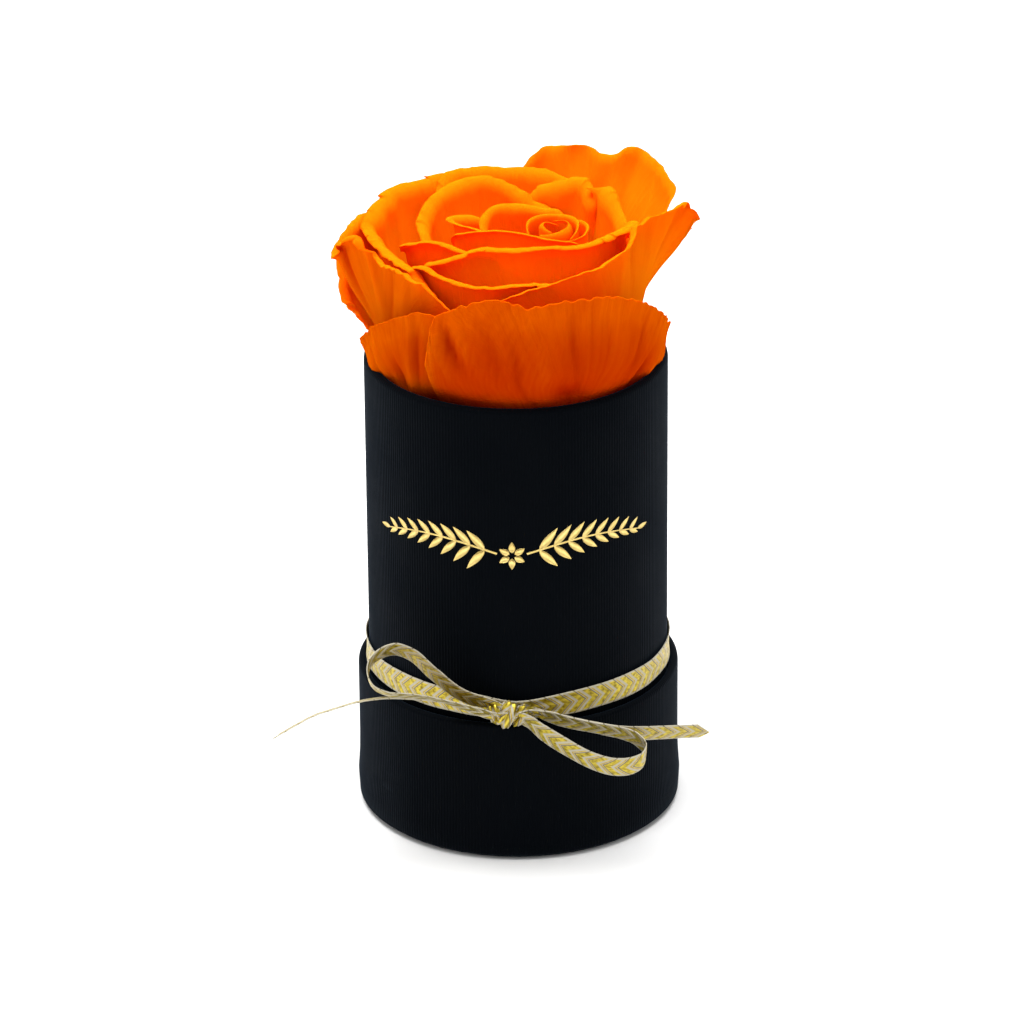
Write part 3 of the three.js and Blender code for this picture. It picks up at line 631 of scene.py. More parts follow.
def bow_piece(name, material, tip=None, sway=0.08, lean=0.0):
    """A loop or loose end of the bow, with its middle line and its length."""
    points = [into_knot(BOW[name][0]), *BOW[name]]
    if "loop" in name:
        points.append(into_knot(BOW[name][-1]))
    line, values = curve_points(points, CURVE_STEPS * (len(points) - 1))
    line, values, along = evened(line, values, RIBBON_STEP)
    tilt = np.radians(values[:, 0] + lean)
    across = vectors(0, -np.cos(tilt), np.sin(tilt))
    widths = np.minimum(1, values[:, 1] * BOW_FULLNESS)
    tangent = unit(np.gradient(line, axis=0))
    across = unit(across - tangent * (across * tangent).sum(axis=1, keepdims=True))
    piece = ribbon_piece(name, line, across, along, widths, material, tip, sway=sway)
    return piece, line, along[-1]


def slanted_tip(shares):
    """The right loose end, cut to a point a little below its middle."""
    return 3.4 * (1 - np.abs(shares + 0.25) / 1.25) - 1.2


def add_loose_ends(material):
    ends = (("ribbon_tail_left", None, LEFT_TAIL_LEAN), ("ribbon_tail_right", slanted_tip, 0.0))
    for name, tip, lean in ends:
        piece, line, length = bow_piece(name, material, tip, sway=0.02, lean=lean)


ribbon_material = woven_ribbon()
add_loose_ends(ribbon_material)


def add_band_and_loops(material):
    radius = BOX_RADIUS + GAP + RIBBON_THICKNESS / 2 + 0.05
    count = round(2 * math.pi * radius / RIBBON_STEP)
    azimuth = whole_turn(count)
    from_knot = np.minimum(azimuth, 360 - azimuth)
    gather = hump(from_knot / BAND_GATHER)
    centre = around(azimuth, radius, BAND_HEIGHT - gather + 0.12 * ripple(azimuth, 60, 5))
    across = np.broadcast_to([0.0, 0.0, 1.0], centre.shape)
    along = from_knot * math.pi / 180 * radius
    ribbon_piece("ribbon_band", centre, across, along, 1 - 0.2 * gather, material, closed=True)
    for name in ("ribbon_loop_left", "ribbon_loop_right"):
        bow_piece(name, material)


add_band_and_loops(ribbon_material)


# The knot's turns of ribbon: offset from the knot's centre, lean, half depth and half height, width and seed
KNOT_TURNS = {
    "ribbon_knot": ((-1.2, 0, 0), 0.5, (1.8, 2.8), 3.8, 1),
    "ribbon_knot_fold": ((-3.6, 0.15, 0.4), -0.3, (1.5, 2.2), 3.0, 4),
    "ribbon_knot_tuck": ((1.8, 0.1, -0.2), 0.8, (1.5, 2.0), 3.0, 2),
}


def knot_turn(name, offset, lean, size, width, seed, material):
    """One turn of ribbon drawn tight round the middle of the bow, gathered in pleats."""
    turn = np.arange(KNOT_ROWS) / KNOT_ROWS * 2 * math.pi
    lift = size[1] * np.cos(turn) * (1 + 0.06 * np.sin(turn * 3 + seed))
    depth = size[0] * np.sin(turn)
    centre = vectors(lift * lean, depth, lift) + np.array(KNOT_CENTRE) + np.array(offset)
    across = unit(unit(np.array([1.0, 0.0, -lean])) + 0.15 * vectors(0, np.cos(turn * 2), np.sin(turn * 3)))
    shares = np.full(KNOT_ROWS, width / RIBBON_WIDTH)
    ribbon_piece(name, centre, across, turn * sum(size) / 2, shares, material, closed=True, sway=0.2)


for turn_name, turn_sizes in KNOT_TURNS.items():
    knot_turn(turn_name, *turn_sizes, ribbon_material)

# The box and lid


def rim_rows(mid, low, radius, share):
    """Rows round the rolled rim, from its outside to its inside."""
    rows = []
    for n in range(1, RIM_ROWS + 1):
        angle = math.pi * n / (RIM_ROWS + 1)
        height = low + radius * math.sin(angle) ** RIM_SQUARENESS
        rows.append((mid + radius * math.cos(angle), height, share))
    return rows


def paper_profile(radius, foot, rim, board, turn_in):
    """Radius, height and rib share round a paper cover: up the outside, over the rim and down the inside."""
    inside = radius - PAPER
    leg_outer = inside - GAP - board - GAP
    leg_inner = leg_outer - PAPER
    curl = (radius - leg_inner) / 2
    mid = radius - curl
    top = rim - curl
    rows = [(FLANGE_INNER_RADIUS, foot, 0), (radius - 1, foot, 0.2), (radius - 0.35, foot + 0.1, 0.5)]
    count = max(2, round((rim - foot) / WALL_ROW_STEP))
    rows += [(radius, foot + 0.5 + (top - foot - 0.5) * n / count, 1) for n in range(count + 1)]
    rows += rim_rows(mid, top, curl, 0.7)
    rows += [(leg_inner, top, 0.6), (leg_inner, rim - turn_in, 0.6), (leg_outer, rim - turn_in, 0.3)]
    rows.append((leg_outer, top, 0))
    rows += rim_rows(mid, top, curl - PAPER, 0)[::-1]
    rows += [(inside, top, 0), (inside, foot + PAPER, 0), (FLANGE_INNER_RADIUS, foot + PAPER, 0)]
    return np.array(rows)


def paper_cover(name, radius, foot, rim, board, turn_in, dent, material):
    profile = paper_profile(radius, foot, rim, board, turn_in)
    radii, heights, shares = (profile[:, n : n + 1] for n in range(3))
    ribs = round(2 * math.pi * radius / RIB_PITCH)
    azimuth = whole_turn(ribs * RIB_SAMPLES)
    rib = RIB_HEIGHT * np.cos(np.radians(azimuth) * ribs)
    seam = SEAM_STEP * (smooth((azimuth - SEAM_AZIMUTH) / 1.2) - smooth((azimuth - SEAM_AZIMUTH) / 22))
    sway = 0.1 * ripple(azimuth, 120, int(radius))
    reach = radii + shares * (rib + seam + sway)
    if dent:
        reach = reach + dent(azimuth, heights)
    grid = around(azimuth, reach, heights)
    place(turned_mesh(name, grid, closed_profile=True), material, "ribbed_paper", [name])


def lid_dent(azimuth, height):
    """The lid's lower edge swells all round, more at the sides, and is scuffed in at the front left."""
    scuff = ((azimuth - SCUFF_AZIMUTH) / 9) ** 2 + ((height - SCUFF_HEIGHT) / 5) ** 2
    swell = LID_SWELL * hump((height - 5) / 4.5) * (1 + 0.6 * np.sin(np.radians(azimuth)) ** 2)
    return (swell - SCUFF_DEPTH * np.exp(-scuff)) * (height < 30)


COVERS = {
    "box_cover_paper": (BOX_RADIUS, BOX_FOOT, BOX_TOP, BOX_BOARD, BOX_TURN_IN, None),
    "lid_cover_paper": (LID_RADIUS, LID_FOOT, LID_TOP, LID_BOARD, LID_TURN_IN, lid_dent),
}
BOARDS = ("box_wall_board", "box_floor_board", "lid_wall_board", "lid_top_board")

paper_material = black_paper()
for cover_name, cover_sizes in COVERS.items():
    paper_cover(cover_name, *cover_sizes, paper_material)

board_material = greyboard()
for node_name in (*BOARDS, "lid_top_paper"):
    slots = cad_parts[node_name].data.materials
    slots.clear()
    slots.append(board_material if node_name in BOARDS else paper_material)

# The stamped sprig


def add_sprig(material):
    """Two curved stems with pairs of leaves that meet at a small flower, as flat foil on the paper."""
    points, faces = [], []

    def stamp(line, halves):
        """A flat strip along a line of flat points, laid on the tube."""
        line = np.array(line, float)
        forward = unit(np.gradient(line, axis=0))
        beside = vectors(-forward[:, 1], forward[:, 0])
        flat = np.stack([line + beside * halves[:, None], line - beside * halves[:, None]], axis=1)
        numbers = len(points) + np.arange(4 * len(line)).reshape(2, len(line), 2)
        azimuth = SPRIG_AZIMUTH + np.degrees(flat[..., 0] / BOX_RADIUS)
        for proud in (FOIL_FACE, FOIL_BACK):
            layer = around(azimuth, BOX_RADIUS + proud, SPRIG_HEIGHT + flat[..., 1])
            points.extend(layer.reshape(-1, 3))
        faces.extend(quads(numbers[0], turned=True) + quads(numbers[1]))
        faces.extend(strip(numbers[1, :, 0], numbers[0, :, 0]) + strip(numbers[0, :, 1], numbers[1, :, 1]))

    def leaf(root, direction, length, width):
        """A pointed leaf, a little curved."""
        share = np.linspace(0, 1, 9)
        along = share * length
        angle = math.radians(direction)
        bend = 0.06 * along**2 * math.copysign(1, math.cos(angle)) / length
        line = vectors(root[0] + along * math.cos(angle), root[1] + along * math.sin(angle) + bend)
        stamp(line, width / 2 * np.sin(np.pi * share**0.8) ** 0.9 + 0.02)

    def stem_point(side, reach):
        return side * reach, 3.6 * math.sin(reach / SPRIG_HALF_LENGTH * math.pi * 0.9) - 1.2

    for side in (-1, 1):
        reaches = np.linspace(SPRIG_STEM_START, SPRIG_HALF_LENGTH, SPRIG_STEM_POINTS)
        stem = [stem_point(side, reach) for reach in reaches]
        stamp(stem, np.linspace(0.26, 0.12, SPRIG_STEM_POINTS))
        outward = 0 if side > 0 else 180
        for n in range(SPRIG_LEAVES):
            root = stem_point(side, SPRIG_LEAF_START + n * SPRIG_LEAF_STEP)
            for up in (-1, 1):
                lean = side * up * (48 - 2.2 * n)
                leaf(root, outward + lean, 6.4 - 0.42 * n, 1.75 - 0.09 * n)
        leaf(stem[-1], outward, 3.6, 1.1)
    for n in range(FLOWER_LEAVES):
        angle = 360 / FLOWER_LEAVES * n + 30
        x, y = (FLOWER_RADIUS * turn(math.radians(angle)) for turn in (math.cos, math.sin))
        leaf((x, y + FLOWER_HEIGHT), angle, 2.6, 1.5)
    place(make_mesh("foil_sprig", points, faces), material, None)


add_sprig(gold_foil())

# The rose. Each petal is a row of stations along its margin, turning anticlockwise as seen from above: the
# azimuth, the bowl that its body follows, the bowl that its margin reaches if that is another, and the
# margin's height.
PETALS = {
    "heart_petal_left": [
        (-205, 3.2, 2.8, 142.6), (-150, 3.4, 3, 143.4), (-100, 3.4, 3, 143.7), (-50, 3.4, 3, 143.4),
        (-5, 3.2, 3, 142.6),
    ],
    "heart_petal_right": [
        (-40, 4.8, 4.4, 142.2), (20, 5, 4.6, 143), (70, 5.2, 5, 143.6), (120, 5, 4.6, 143.8),
        (172, 4.8, 4.4, 143),
    ],
    "heart_petal_back": [
        (45, 8.4, 8.2, 142.2), (66, 8.3, 8.1, 143.4), (87, 7.8, 7.6, 144), (120, 7, 6.8, 144.2),
        (155, 6.4, 6.2, 144), (200, 6.2, 5.8, 144), (260, 6.2, 5.8, 143.6), (300, 6.4, 6, 142.4),
    ],
    "heart_petal_front": [
        (-62, 7.6, 7.4, 142), (-20, 8.4, 8.2, 142.8), (20, 9.6, 142.8), (50, 10.4, 142.8), (85, 10.2, 143),
        (118, 9.8, 9.6, 142.7), (148, 9.6, 9.4, 141.4),
    ],
    "inner_petal_back_left": [
        (-236, 8, 140), (-205, 7.8, 7.6, 144), (-173, 7.8, 7.4, 144.5), (-146, 10, 145),
        (-126, 12, 12.6, 145), (-112, 12.8, 13.4, 143.6), (-98, 12.6, 13.2, 142), (-74, 11.6, 138),
    ],
    "inner_petal_left": [
        (-142, 14, 14.2, 138), (-124, 14.4, 16, 141.6), (-110, 14.8, 19.4, 142.4), (-99, 14.6, 17, 142.4),
        (-86, 14, 14.2, 142.8), (-66, 12.6, 143), (-44, 10.4, 10.2, 143.4), (-16, 9.8, 140),
    ],
    "inner_petal_front": [
        (-94, 16.6, 17.6, 137), (-82, 16.4, 18.2, 141.6), (-70, 15, 15.6, 143.8), (-55, 13, 145),
        (-34, 11.6, 145.4), (-10, 11.4, 145), (15, 11.8, 144), (38, 12.2, 142.6), (58, 12.6, 139),
    ],
    "inner_petal_right": [
        (-48, 15.6, 15.4, 137), (-18, 14.8, 141), (16, 14.8, 141.6), (48, 15.4, 141), (80, 16, 136),
    ],
    "ring_petal_front_left": [
        (-90, 24.4, 27, 137), (-77, 23.6, 26.2, 141), (-66, 22.4, 23.2, 143), (-56, 21.2, 142.8),
        (-44, 19.8, 142.2), (-28, 18.2, 141), (-8, 17, 137),
    ],
    "ring_petal_front": [
        (-68, 25, 27, 135), (-56, 24.4, 26.4, 139), (-42, 22.6, 23.4, 142.5), (-30, 20.8, 21, 144.6),
        (-4, 19, 18.8, 145), (26, 18.6, 18.4, 144.4), (46, 19.4, 144.6), (70, 20.8, 21.4, 144.8),
        (90, 21.6, 22.2, 143), (108, 22, 137),
    ],
    "ring_petal_right": [
        (86, 19, 137), (100, 19.6, 20.2, 141), (114, 20, 20.6, 143), (127, 20.6, 21.6, 145),
        (135, 21, 22, 145.5), (141, 21.2, 20.8, 143.8), (149, 21.4, 22.4, 146), (161, 21.8, 144.6),
        (173, 22, 143.2), (190, 22.4, 138),
    ],
    "ring_petal_back_left": [
        (-222, 16, 136), (-205, 17, 138), (-188, 18.6, 139.6), (-174, 20, 20.2, 142.2),
        (-163, 21.8, 22.2, 144.9), (-153, 22.8, 23.4, 145.9), (-139, 23.2, 24, 145.4),
        (-125, 23.4, 24.2, 144.2), (-108, 23, 24.2, 141.6), (-93, 22.2, 23, 139.5), (-76, 21.4, 21.6, 134),
    ],
    "middle_petal_front": [
        (-46, 26.6, 130), (-25, 24.8, 135), (2, 23.8, 136.4), (30, 23, 136), (60, 23.4, 132),
    ],
    "middle_petal_left": [
        (-150, 28.4, 124), (-130, 28.8, 29, 128), (-106, 28.6, 128), (-86, 27.8, 127), (-68, 27, 121),
    ],
    "middle_petal_right": [
        (82, 24.2, 132), (102, 25.2, 25.4, 135), (126, 26.2, 26.4, 136), (150, 26.8, 27, 137),
        (174, 26.6, 132),
    ],
    "middle_petal_back": [
        (144, 28.6, 131), (165, 28.8, 29, 137), (185, 28.4, 28.8, 139), (206, 27.8, 28.2, 138),
        (226, 27, 132),
    ],
    "upper_petal_front": [
        (-62, 28.4, 135), (-50, 28.8, 29.2, 141), (-37, 28.4, 29, 140.4), (-26, 28, 28.6, 139.2),
        (-11, 27.4, 28, 139.5), (6, 26.6, 27, 140), (22, 25.6, 137),
    ],
    "upper_petal_right": [
        (-28, 30.2, 132), (-7, 29.6, 30, 137.7), (7, 28.6, 28.8, 140.3), (26, 27.4, 27.6, 142),
        (38, 26.8, 142.6), (52, 26.2, 25.8, 143.8), (62, 26, 24.8, 145), (71, 26.2, 24.2, 146.6),
        (83, 27.4, 26.8, 146.8), (92, 29, 31.4, 146.4), (98, 29.6, 35.2, 146), (101.5, 30, 38.2, 143),
        (103.5, 30.2, 40.6, 139.8), (105.3, 30.2, 39, 138.5), (106.8, 30.2, 40.4, 136.6),
        (108.5, 30.2, 37, 133.5), (110, 30.2, 32.4, 127), (112, 30.2, 30.4, 121),
    ],
    "upper_petal_left": [
        (-168, 33.4, 138), (-153, 33, 33.2, 142.7), (-142, 33, 34, 142.3), (-129, 33, 34.2, 142.6),
        (-117, 33, 34.2, 140.8), (-106, 32.4, 33.8, 139.6), (-92, 31.4, 32, 139.5), (-78, 30.6, 139.8),
        (-64, 30.4, 140.2), (-51, 30.4, 30.8, 140.5), (-38, 30.6, 136),
    ],
    "upper_petal_back": [
        (-214, 30, 135), (-198, 30.6, 31, 141.8), (-187, 31, 31.8, 143), (-174, 31.2, 32, 143.3),
        (-162, 31.2, 31.8, 143.9), (-150, 31, 31.2, 143.6), (-138, 30.4, 138),
    ],
    "tall_petal_back_right": [
        (111, 33, 34.2, 141), (114, 33, 36.3, 144.8), (119, 33.2, 36.3, 146.4), (129, 33.4, 35.8, 148.9),
        (137, 33.6, 35.4, 150), (144, 33.8, 35, 148.6), (150, 33.8, 34.6, 147.4), (155, 33.8, 34.6, 148.6),
        (163, 33.6, 34.6, 147.8), (171, 33.4, 34, 147.2), (178, 33.2, 33.4, 142.5), (187, 33, 135),
    ],
    "outer_petal_left": [
        (-128, 35.6, 35.8, 134), (-117, 35.8, 36.2, 139), (-109, 35.8, 36.4, 139.6), (-102, 35.8, 38, 138),
        (-96, 35.8, 40, 135.2), (-90, 35.6, 40.2, 135.2), (-84, 34.8, 37.4, 140), (-78, 33.8, 34.6, 143.6),
        (-72, 33.2, 33.6, 143), (-67, 32.8, 32.6, 140.4), (-58, 32.4, 32.6, 140.3), (-48, 32.4, 32.8, 141),
        (-38, 32.2, 32.4, 140), (-29, 31.8, 137),
    ],
    "outer_petal_left_back": [
        (-152, 39.2, 122), (-136, 39.2, 39.8, 130.5), (-121, 39.2, 40.6, 134), (-110, 39, 41.4, 133.5),
        (-104, 38.6, 41.8, 130), (-99, 38.2, 41.4, 125.5), (-95.5, 37.8, 40.4, 121), (-93, 37.4, 38.4, 117),
    ],
    "guard_petal_front": [
        (-36, 38, 37.6, 120), (-33, 38.1, 37.2, 127), (-29, 38.2, 36.6, 133.8), (-23, 38.4, 35.9, 136.2),
        (-16, 38.6, 35.3, 138.4), (-9, 38.8, 35, 139.7), (3, 39.2, 35, 138.2), (18, 39.5, 35.2, 138.4),
        (31, 39.7, 35.4, 138.2), (44, 39.9, 36, 135.6), (54, 40, 36.6, 132.4), (63, 40.2, 37.4, 128.6),
        (73, 40.3, 37.8, 124.5), (82, 40.2, 38.6, 120.4), (91, 40, 39.2, 117), (95, 39.8, 40, 114.8),
        (99, 39.6, 113),
    ],
    "guard_petal_front_left": [
        (-91, 39, 40.1, 114), (-86, 39.3, 41.1, 115.6), (-80, 39.6, 40.4, 118), (-73, 39.7, 38.8, 121),
        (-66, 39.2, 37.8, 124.4), (-55, 38, 37, 128), (-45, 36.8, 36.1, 131.4), (-37, 36, 35.4, 133.6),
        (-29, 35.4, 34.8, 132), (-20, 35.2, 34.4, 124),
    ],
    "guard_petal_back_right": [
        (120, 39.4, 38.4, 112), (132, 39.6, 38.4, 126), (146, 39.8, 38.8, 134), (162, 39.8, 39, 136),
        (178, 39.8, 38.6, 133), (193, 39.6, 37.6, 124),
    ],
    "guard_petal_back_left": [
        (-190, 35.6, 123), (-175, 36, 36.6, 133), (-158, 36.2, 37.2, 136.5), (-141, 36.8, 37.8, 134),
        (-124, 37.4, 124),
    ],
}

# How far in from the margin the painted depth reaches, and how strongly folds and veins are painted: painted
# shade where they sink in, the margin's colour where they stand out
PAINTED_DEPTH_REACH = 6
FOLD_SHADING = 0.45
VEIN_SHADING = 1.1
# How far below the margin the veins would meet, and the least spread that they keep
VEIN_FAN = 42
VEIN_NARROWEST = 0.3

# Per kind of petal: lip length and its turn in degrees, ruffle, scallop depth and length, vein relief, and
# how far the outer face has the inner face's colour
STYLES = {
    "heart": (1.3, 70, 0.05, 0.05, 3.0, 0.01, 0.75),
    "inner": (3.0, 105, 0.08, 0.04, 6.0, 0.015, 0.8),
    "ring": (5.0, 115, 0.1, 0.05, 7.0, 0.02, 0.75),
    "middle": (3.0, 95, 0.1, 0.05, 7.0, 0.02, 0.7),
    "upper": (4.5, 110, 0.18, 0.1, 6.0, 0.04, 0.5),
    "tall": (3.0, 45, 0.4, 0.25, 8.0, 0.02, 0.4),
    "outer": (3.2, 90, 0.35, 0.3, 5.0, 0.05, 0.3),
    "guard": (1.0, 20, 0.35, 0.34, 4.2, 0.09, 0.0),
}
# Lips of single petals that differ from their kind: length and turn
LIPS = {
    "upper_petal_left": (6.0, 115),
    "upper_petal_back": (5.5, 110),
    "upper_petal_right": (3.0, 75),
    "ring_petal_right": (5.5, 100),
    "ring_petal_back_left": (5.0, 105),
    "ring_petal_front": (6.0, 128),
    "middle_petal_front": (3.6, 105),
    "heart_petal_left": (2.4, -80),
    "heart_petal_right": (2.4, -60),
}
# Where a lip turns more, or less with a minus: place along the margin from 0 to 1, half width in the same
# measure and the added turn in degrees
TURNS = {
    "tall_petal_back_right": (0.61, 0.06, -80),
    "outer_petal_left": (0.54, 0.06, 80),
}
# Nicks and rounded corners of single petals: place along the margin, and half width and depth in millimetres
NICKS = {
    "outer_petal_left": [(1.0, 6, 3.5), (0.63, 1, 0.7)],
    "upper_petal_right": [(0.665, 0.6, 1.4), (0.7, 0.8, 0.8), (0.52, 1.2, 0.8)],
    "tall_petal_back_right": [(0.46, 2.5, 0.8)],
    "guard_petal_front": [(0.83, 0.8, 0.9), (0.9, 0.7, 0.8), (0.36, 2, 0.6)],
    "guard_petal_front_left": [(0.12, 0.7, 0.7), (0.3, 0.8, 0.6)],
    "ring_petal_right": [(0.5, 1.2, 1.2)],
}
# Folds of single petals: place along the margin from 0 to 1, push outwards and half width in millimetres,
# and how far down from the margin the fold's middle is and how far it runs from there
CREASES = {
    "guard_petal_front": [
        (0.19, 0.9, 1.2, 6, 7), (0.15, -1.2, 1.5, 9, 6), (0.11, 0.8, 1.0, 9, 6), (0.24, -0.5, 1.6, 12, 7),
        (0.3, -0.6, 1.1, 17, 9), (0.38, 0.4, 2.2, 14, 9), (0.46, -0.6, 1.2, 11, 8), (0.43, -1.2, 5, 24, 4),
        (0.45, 1.8, 30, 35, 6), (0.57, 0.4, 2.6, 9, 9), (0.66, -0.6, 1.2, 12, 8), (0.74, -1.3, 1.8, 17, 5),
        (0.8, 0.8, 1.6, 14, 5), (0.97, 2.6, 12, 8, 5),
    ],
    "guard_petal_front_left": [
        (0.68, -0.9, 1.3, 10, 8), (0.6, 0.6, 1.4, 12, 8), (0.5, -1.1, 1.5, 15, 6), (0.36, 0.5, 1.6, 8, 8),
        (0.28, -0.6, 1.2, 10, 7), (0.08, 3.4, 12, 9, 5), (0.42, 2.8, 12, 20, 5),
    ],
    "guard_petal_back_left": [(0.9, 2.5, 10, 16, 5)],
    "outer_petal_left": [
        (0.45, -1.1, 2.2, 0, 14), (0.62, 0.9, 2, 0, 16), (0.72, -0.6, 1.6, 6, 10), (0.82, 0.4, 2, 4, 8),
        (0.9, -0.9, 3, 12, 5),
    ],
    "upper_petal_right": [
        (0.42, 0.35, 1.6, 0, 14), (0.5, -0.4, 1.6, 0, 16), (0.58, 0.35, 1.8, 0, 14), (0.68, -0.5, 2, 0, 14),
    ],
    "tall_petal_back_right": [(0.35, 0.6, 2.4, 0, 14), (0.52, -0.9, 2.2, 3, 6), (0.75, 0.5, 2.6, 0, 12)],
    "upper_petal_left": [(0.5, 0.4, 3, 0, 12)],
}


def bowl_growth(height):
    """How far a bowl has opened: 0 at its foot and 1 where it is full."""
    t = clamped((height - BOWL_FOOT) / (BOWL_FULL - BOWL_FOOT))
    return 1 - (1 - t) ** BOWL_POWER


def bowl_radius(bowl, height):
    above = np.maximum(0, (height - FLARE_START) / FLARE_SPAN)
    flare = (6 * bowl / OUTER_BOWL - 2) * np.minimum(bowl / 8, 1)
    return bowl * bowl_growth(height) + flare * above * above


def bowl_point(bowl, azimuth, height, inset=0.0):
    lean = bowl_growth(height) ** 3 * np.maximum(0, 1 - bowl / OUTER_BOWL)
    centre = vectors(HEART_X * lean, HEART_Y * lean, 0)
    return around(azimuth, bowl_radius(bowl, height) - inset, height) + centre


def petal_foot(bowl):
    """The height where a bowl's petals leave the calyx."""
    return PETAL_FOOT_LOW + PETAL_FOOT_RISE * (1 - bowl / PETAL_FOOT_BOWL)


def along_stations(stations, column, place):
    """One value of the stations at places from 0 to 1, along a smooth curve through all of them."""
    last = len(stations) - 1
    values = np.array([station[column] for station in stations], float)
    k = np.minimum((place * last).astype(int), last - 1)
    t = place * last - k
    a, b, c, d = (values[np.clip(k + n, 0, last)] for n in (-1, 0, 1, 2))
    slope_b, slope_c, rise = (c - a) / 2, (d - b) / 2, c - b
    return b + t * (slope_b + t * (3 * rise - 2 * slope_b - slope_c + t * (slope_b + slope_c - 2 * rise)))


def petal_points(stations, across, up):
    azimuth, body, margin, top = (along_stations(stations, n, across) for n in (0, 1, -2, -1))
    middle = (stations[0][0] + stations[-1][0]) / 2
    width = PETAL_FOOT_WIDTH + (1 - PETAL_FOOT_WIDTH) * smooth(up / PETAL_FULL_WIDTH)
    foot_bowl = sum(station[1] for station in stations) / len(stations)
    lower = foot_bowl + (body - foot_bowl) * smooth(up / PETAL_FOOT_BLEND)
    bowl = lower + (margin - body) * smooth((up - PETAL_FULL_WIDTH) / (1 - PETAL_FULL_WIDTH))
    foot = petal_foot(foot_bowl)
    return bowl_point(bowl, middle + (azimuth - middle) * width, foot + (top - foot) * up)


def even_places(stations):
    """Places across a petal at an even step along its margin."""
    fine = np.linspace(0, 1, 600)
    lengths = lengths_along(petal_points(stations, fine, np.ones_like(fine)))
    count = max(12, round(lengths[-1] / PETAL_COLUMN_STEP) + 1)
    at = np.linspace(0, lengths[-1], count)
    return np.interp(at, lengths, fine), at


def lip_angles(turn):
    """The lean of each row of a lip, for one turn or many: it bends faster towards its edge."""
    share = (np.arange(PETAL_LIP_ROWS) + 0.5) / PETAL_LIP_ROWS
    return np.radians(turn) * share[:, None] ** PETAL_LIP_EASE


def rolled_lip(body, length, turn):
    """Rows that continue a body's last row in a lip that rolls outwards."""
    tangent = unit(body[-1] - body[-2])
    outward = grid_normals(body)[-1]
    angles = lip_angles(turn)[..., None]
    steps = (tangent * np.cos(angles) + outward * np.sin(angles)) * (length / PETAL_LIP_ROWS)[:, None]
    return np.concatenate([body, body[-1] + np.cumsum(steps, axis=0)])


def creased(name, margin_at, down):
    """How far a petal's folds push it outwards, at places along and down from its margin."""
    total = np.zeros_like(down)
    length = margin_at[-1]
    for place_along, depth, width, middle, reach in CREASES.get(name, []):
        fan = (place_along - 0.5) * length * (1 - down / 90)
        wander = length / 2 + fan + 0.8 * np.sin(down / 5 + place_along * 20)
        beside = ((margin_at - wander) / width) ** 2
        total += depth * np.exp(-beside - ((down - middle) / reach) ** 2)
    return total


def lip_sizes(name, margin_at, seed):
    """The length and the turn of a petal's lip at places along its margin."""
    length, turn = LIPS.get(name, STYLES[name.split("_")[0]][:2])
    from_ends = np.minimum(margin_at, margin_at[-1] - margin_at)
    length = length * (1 + 0.18 * ripple(margin_at, 14, seed)) * (0.35 + 0.65 * smooth(from_ends / 8))
    turn = turn * (1 + 0.12 * ripple(margin_at, 18, seed + 50))
    if name in TURNS:
        place_along, half_width, more = TURNS[name]
        turn = turn + more * hump((margin_at / margin_at[-1] - place_along) / half_width)
    return length, turn


def onto_lip(rows):
    """A body's rows of values, with the last one repeated over the lip."""
    return np.concatenate([rows, np.repeat(rows[-1:], PETAL_LIP_ROWS, axis=0)])


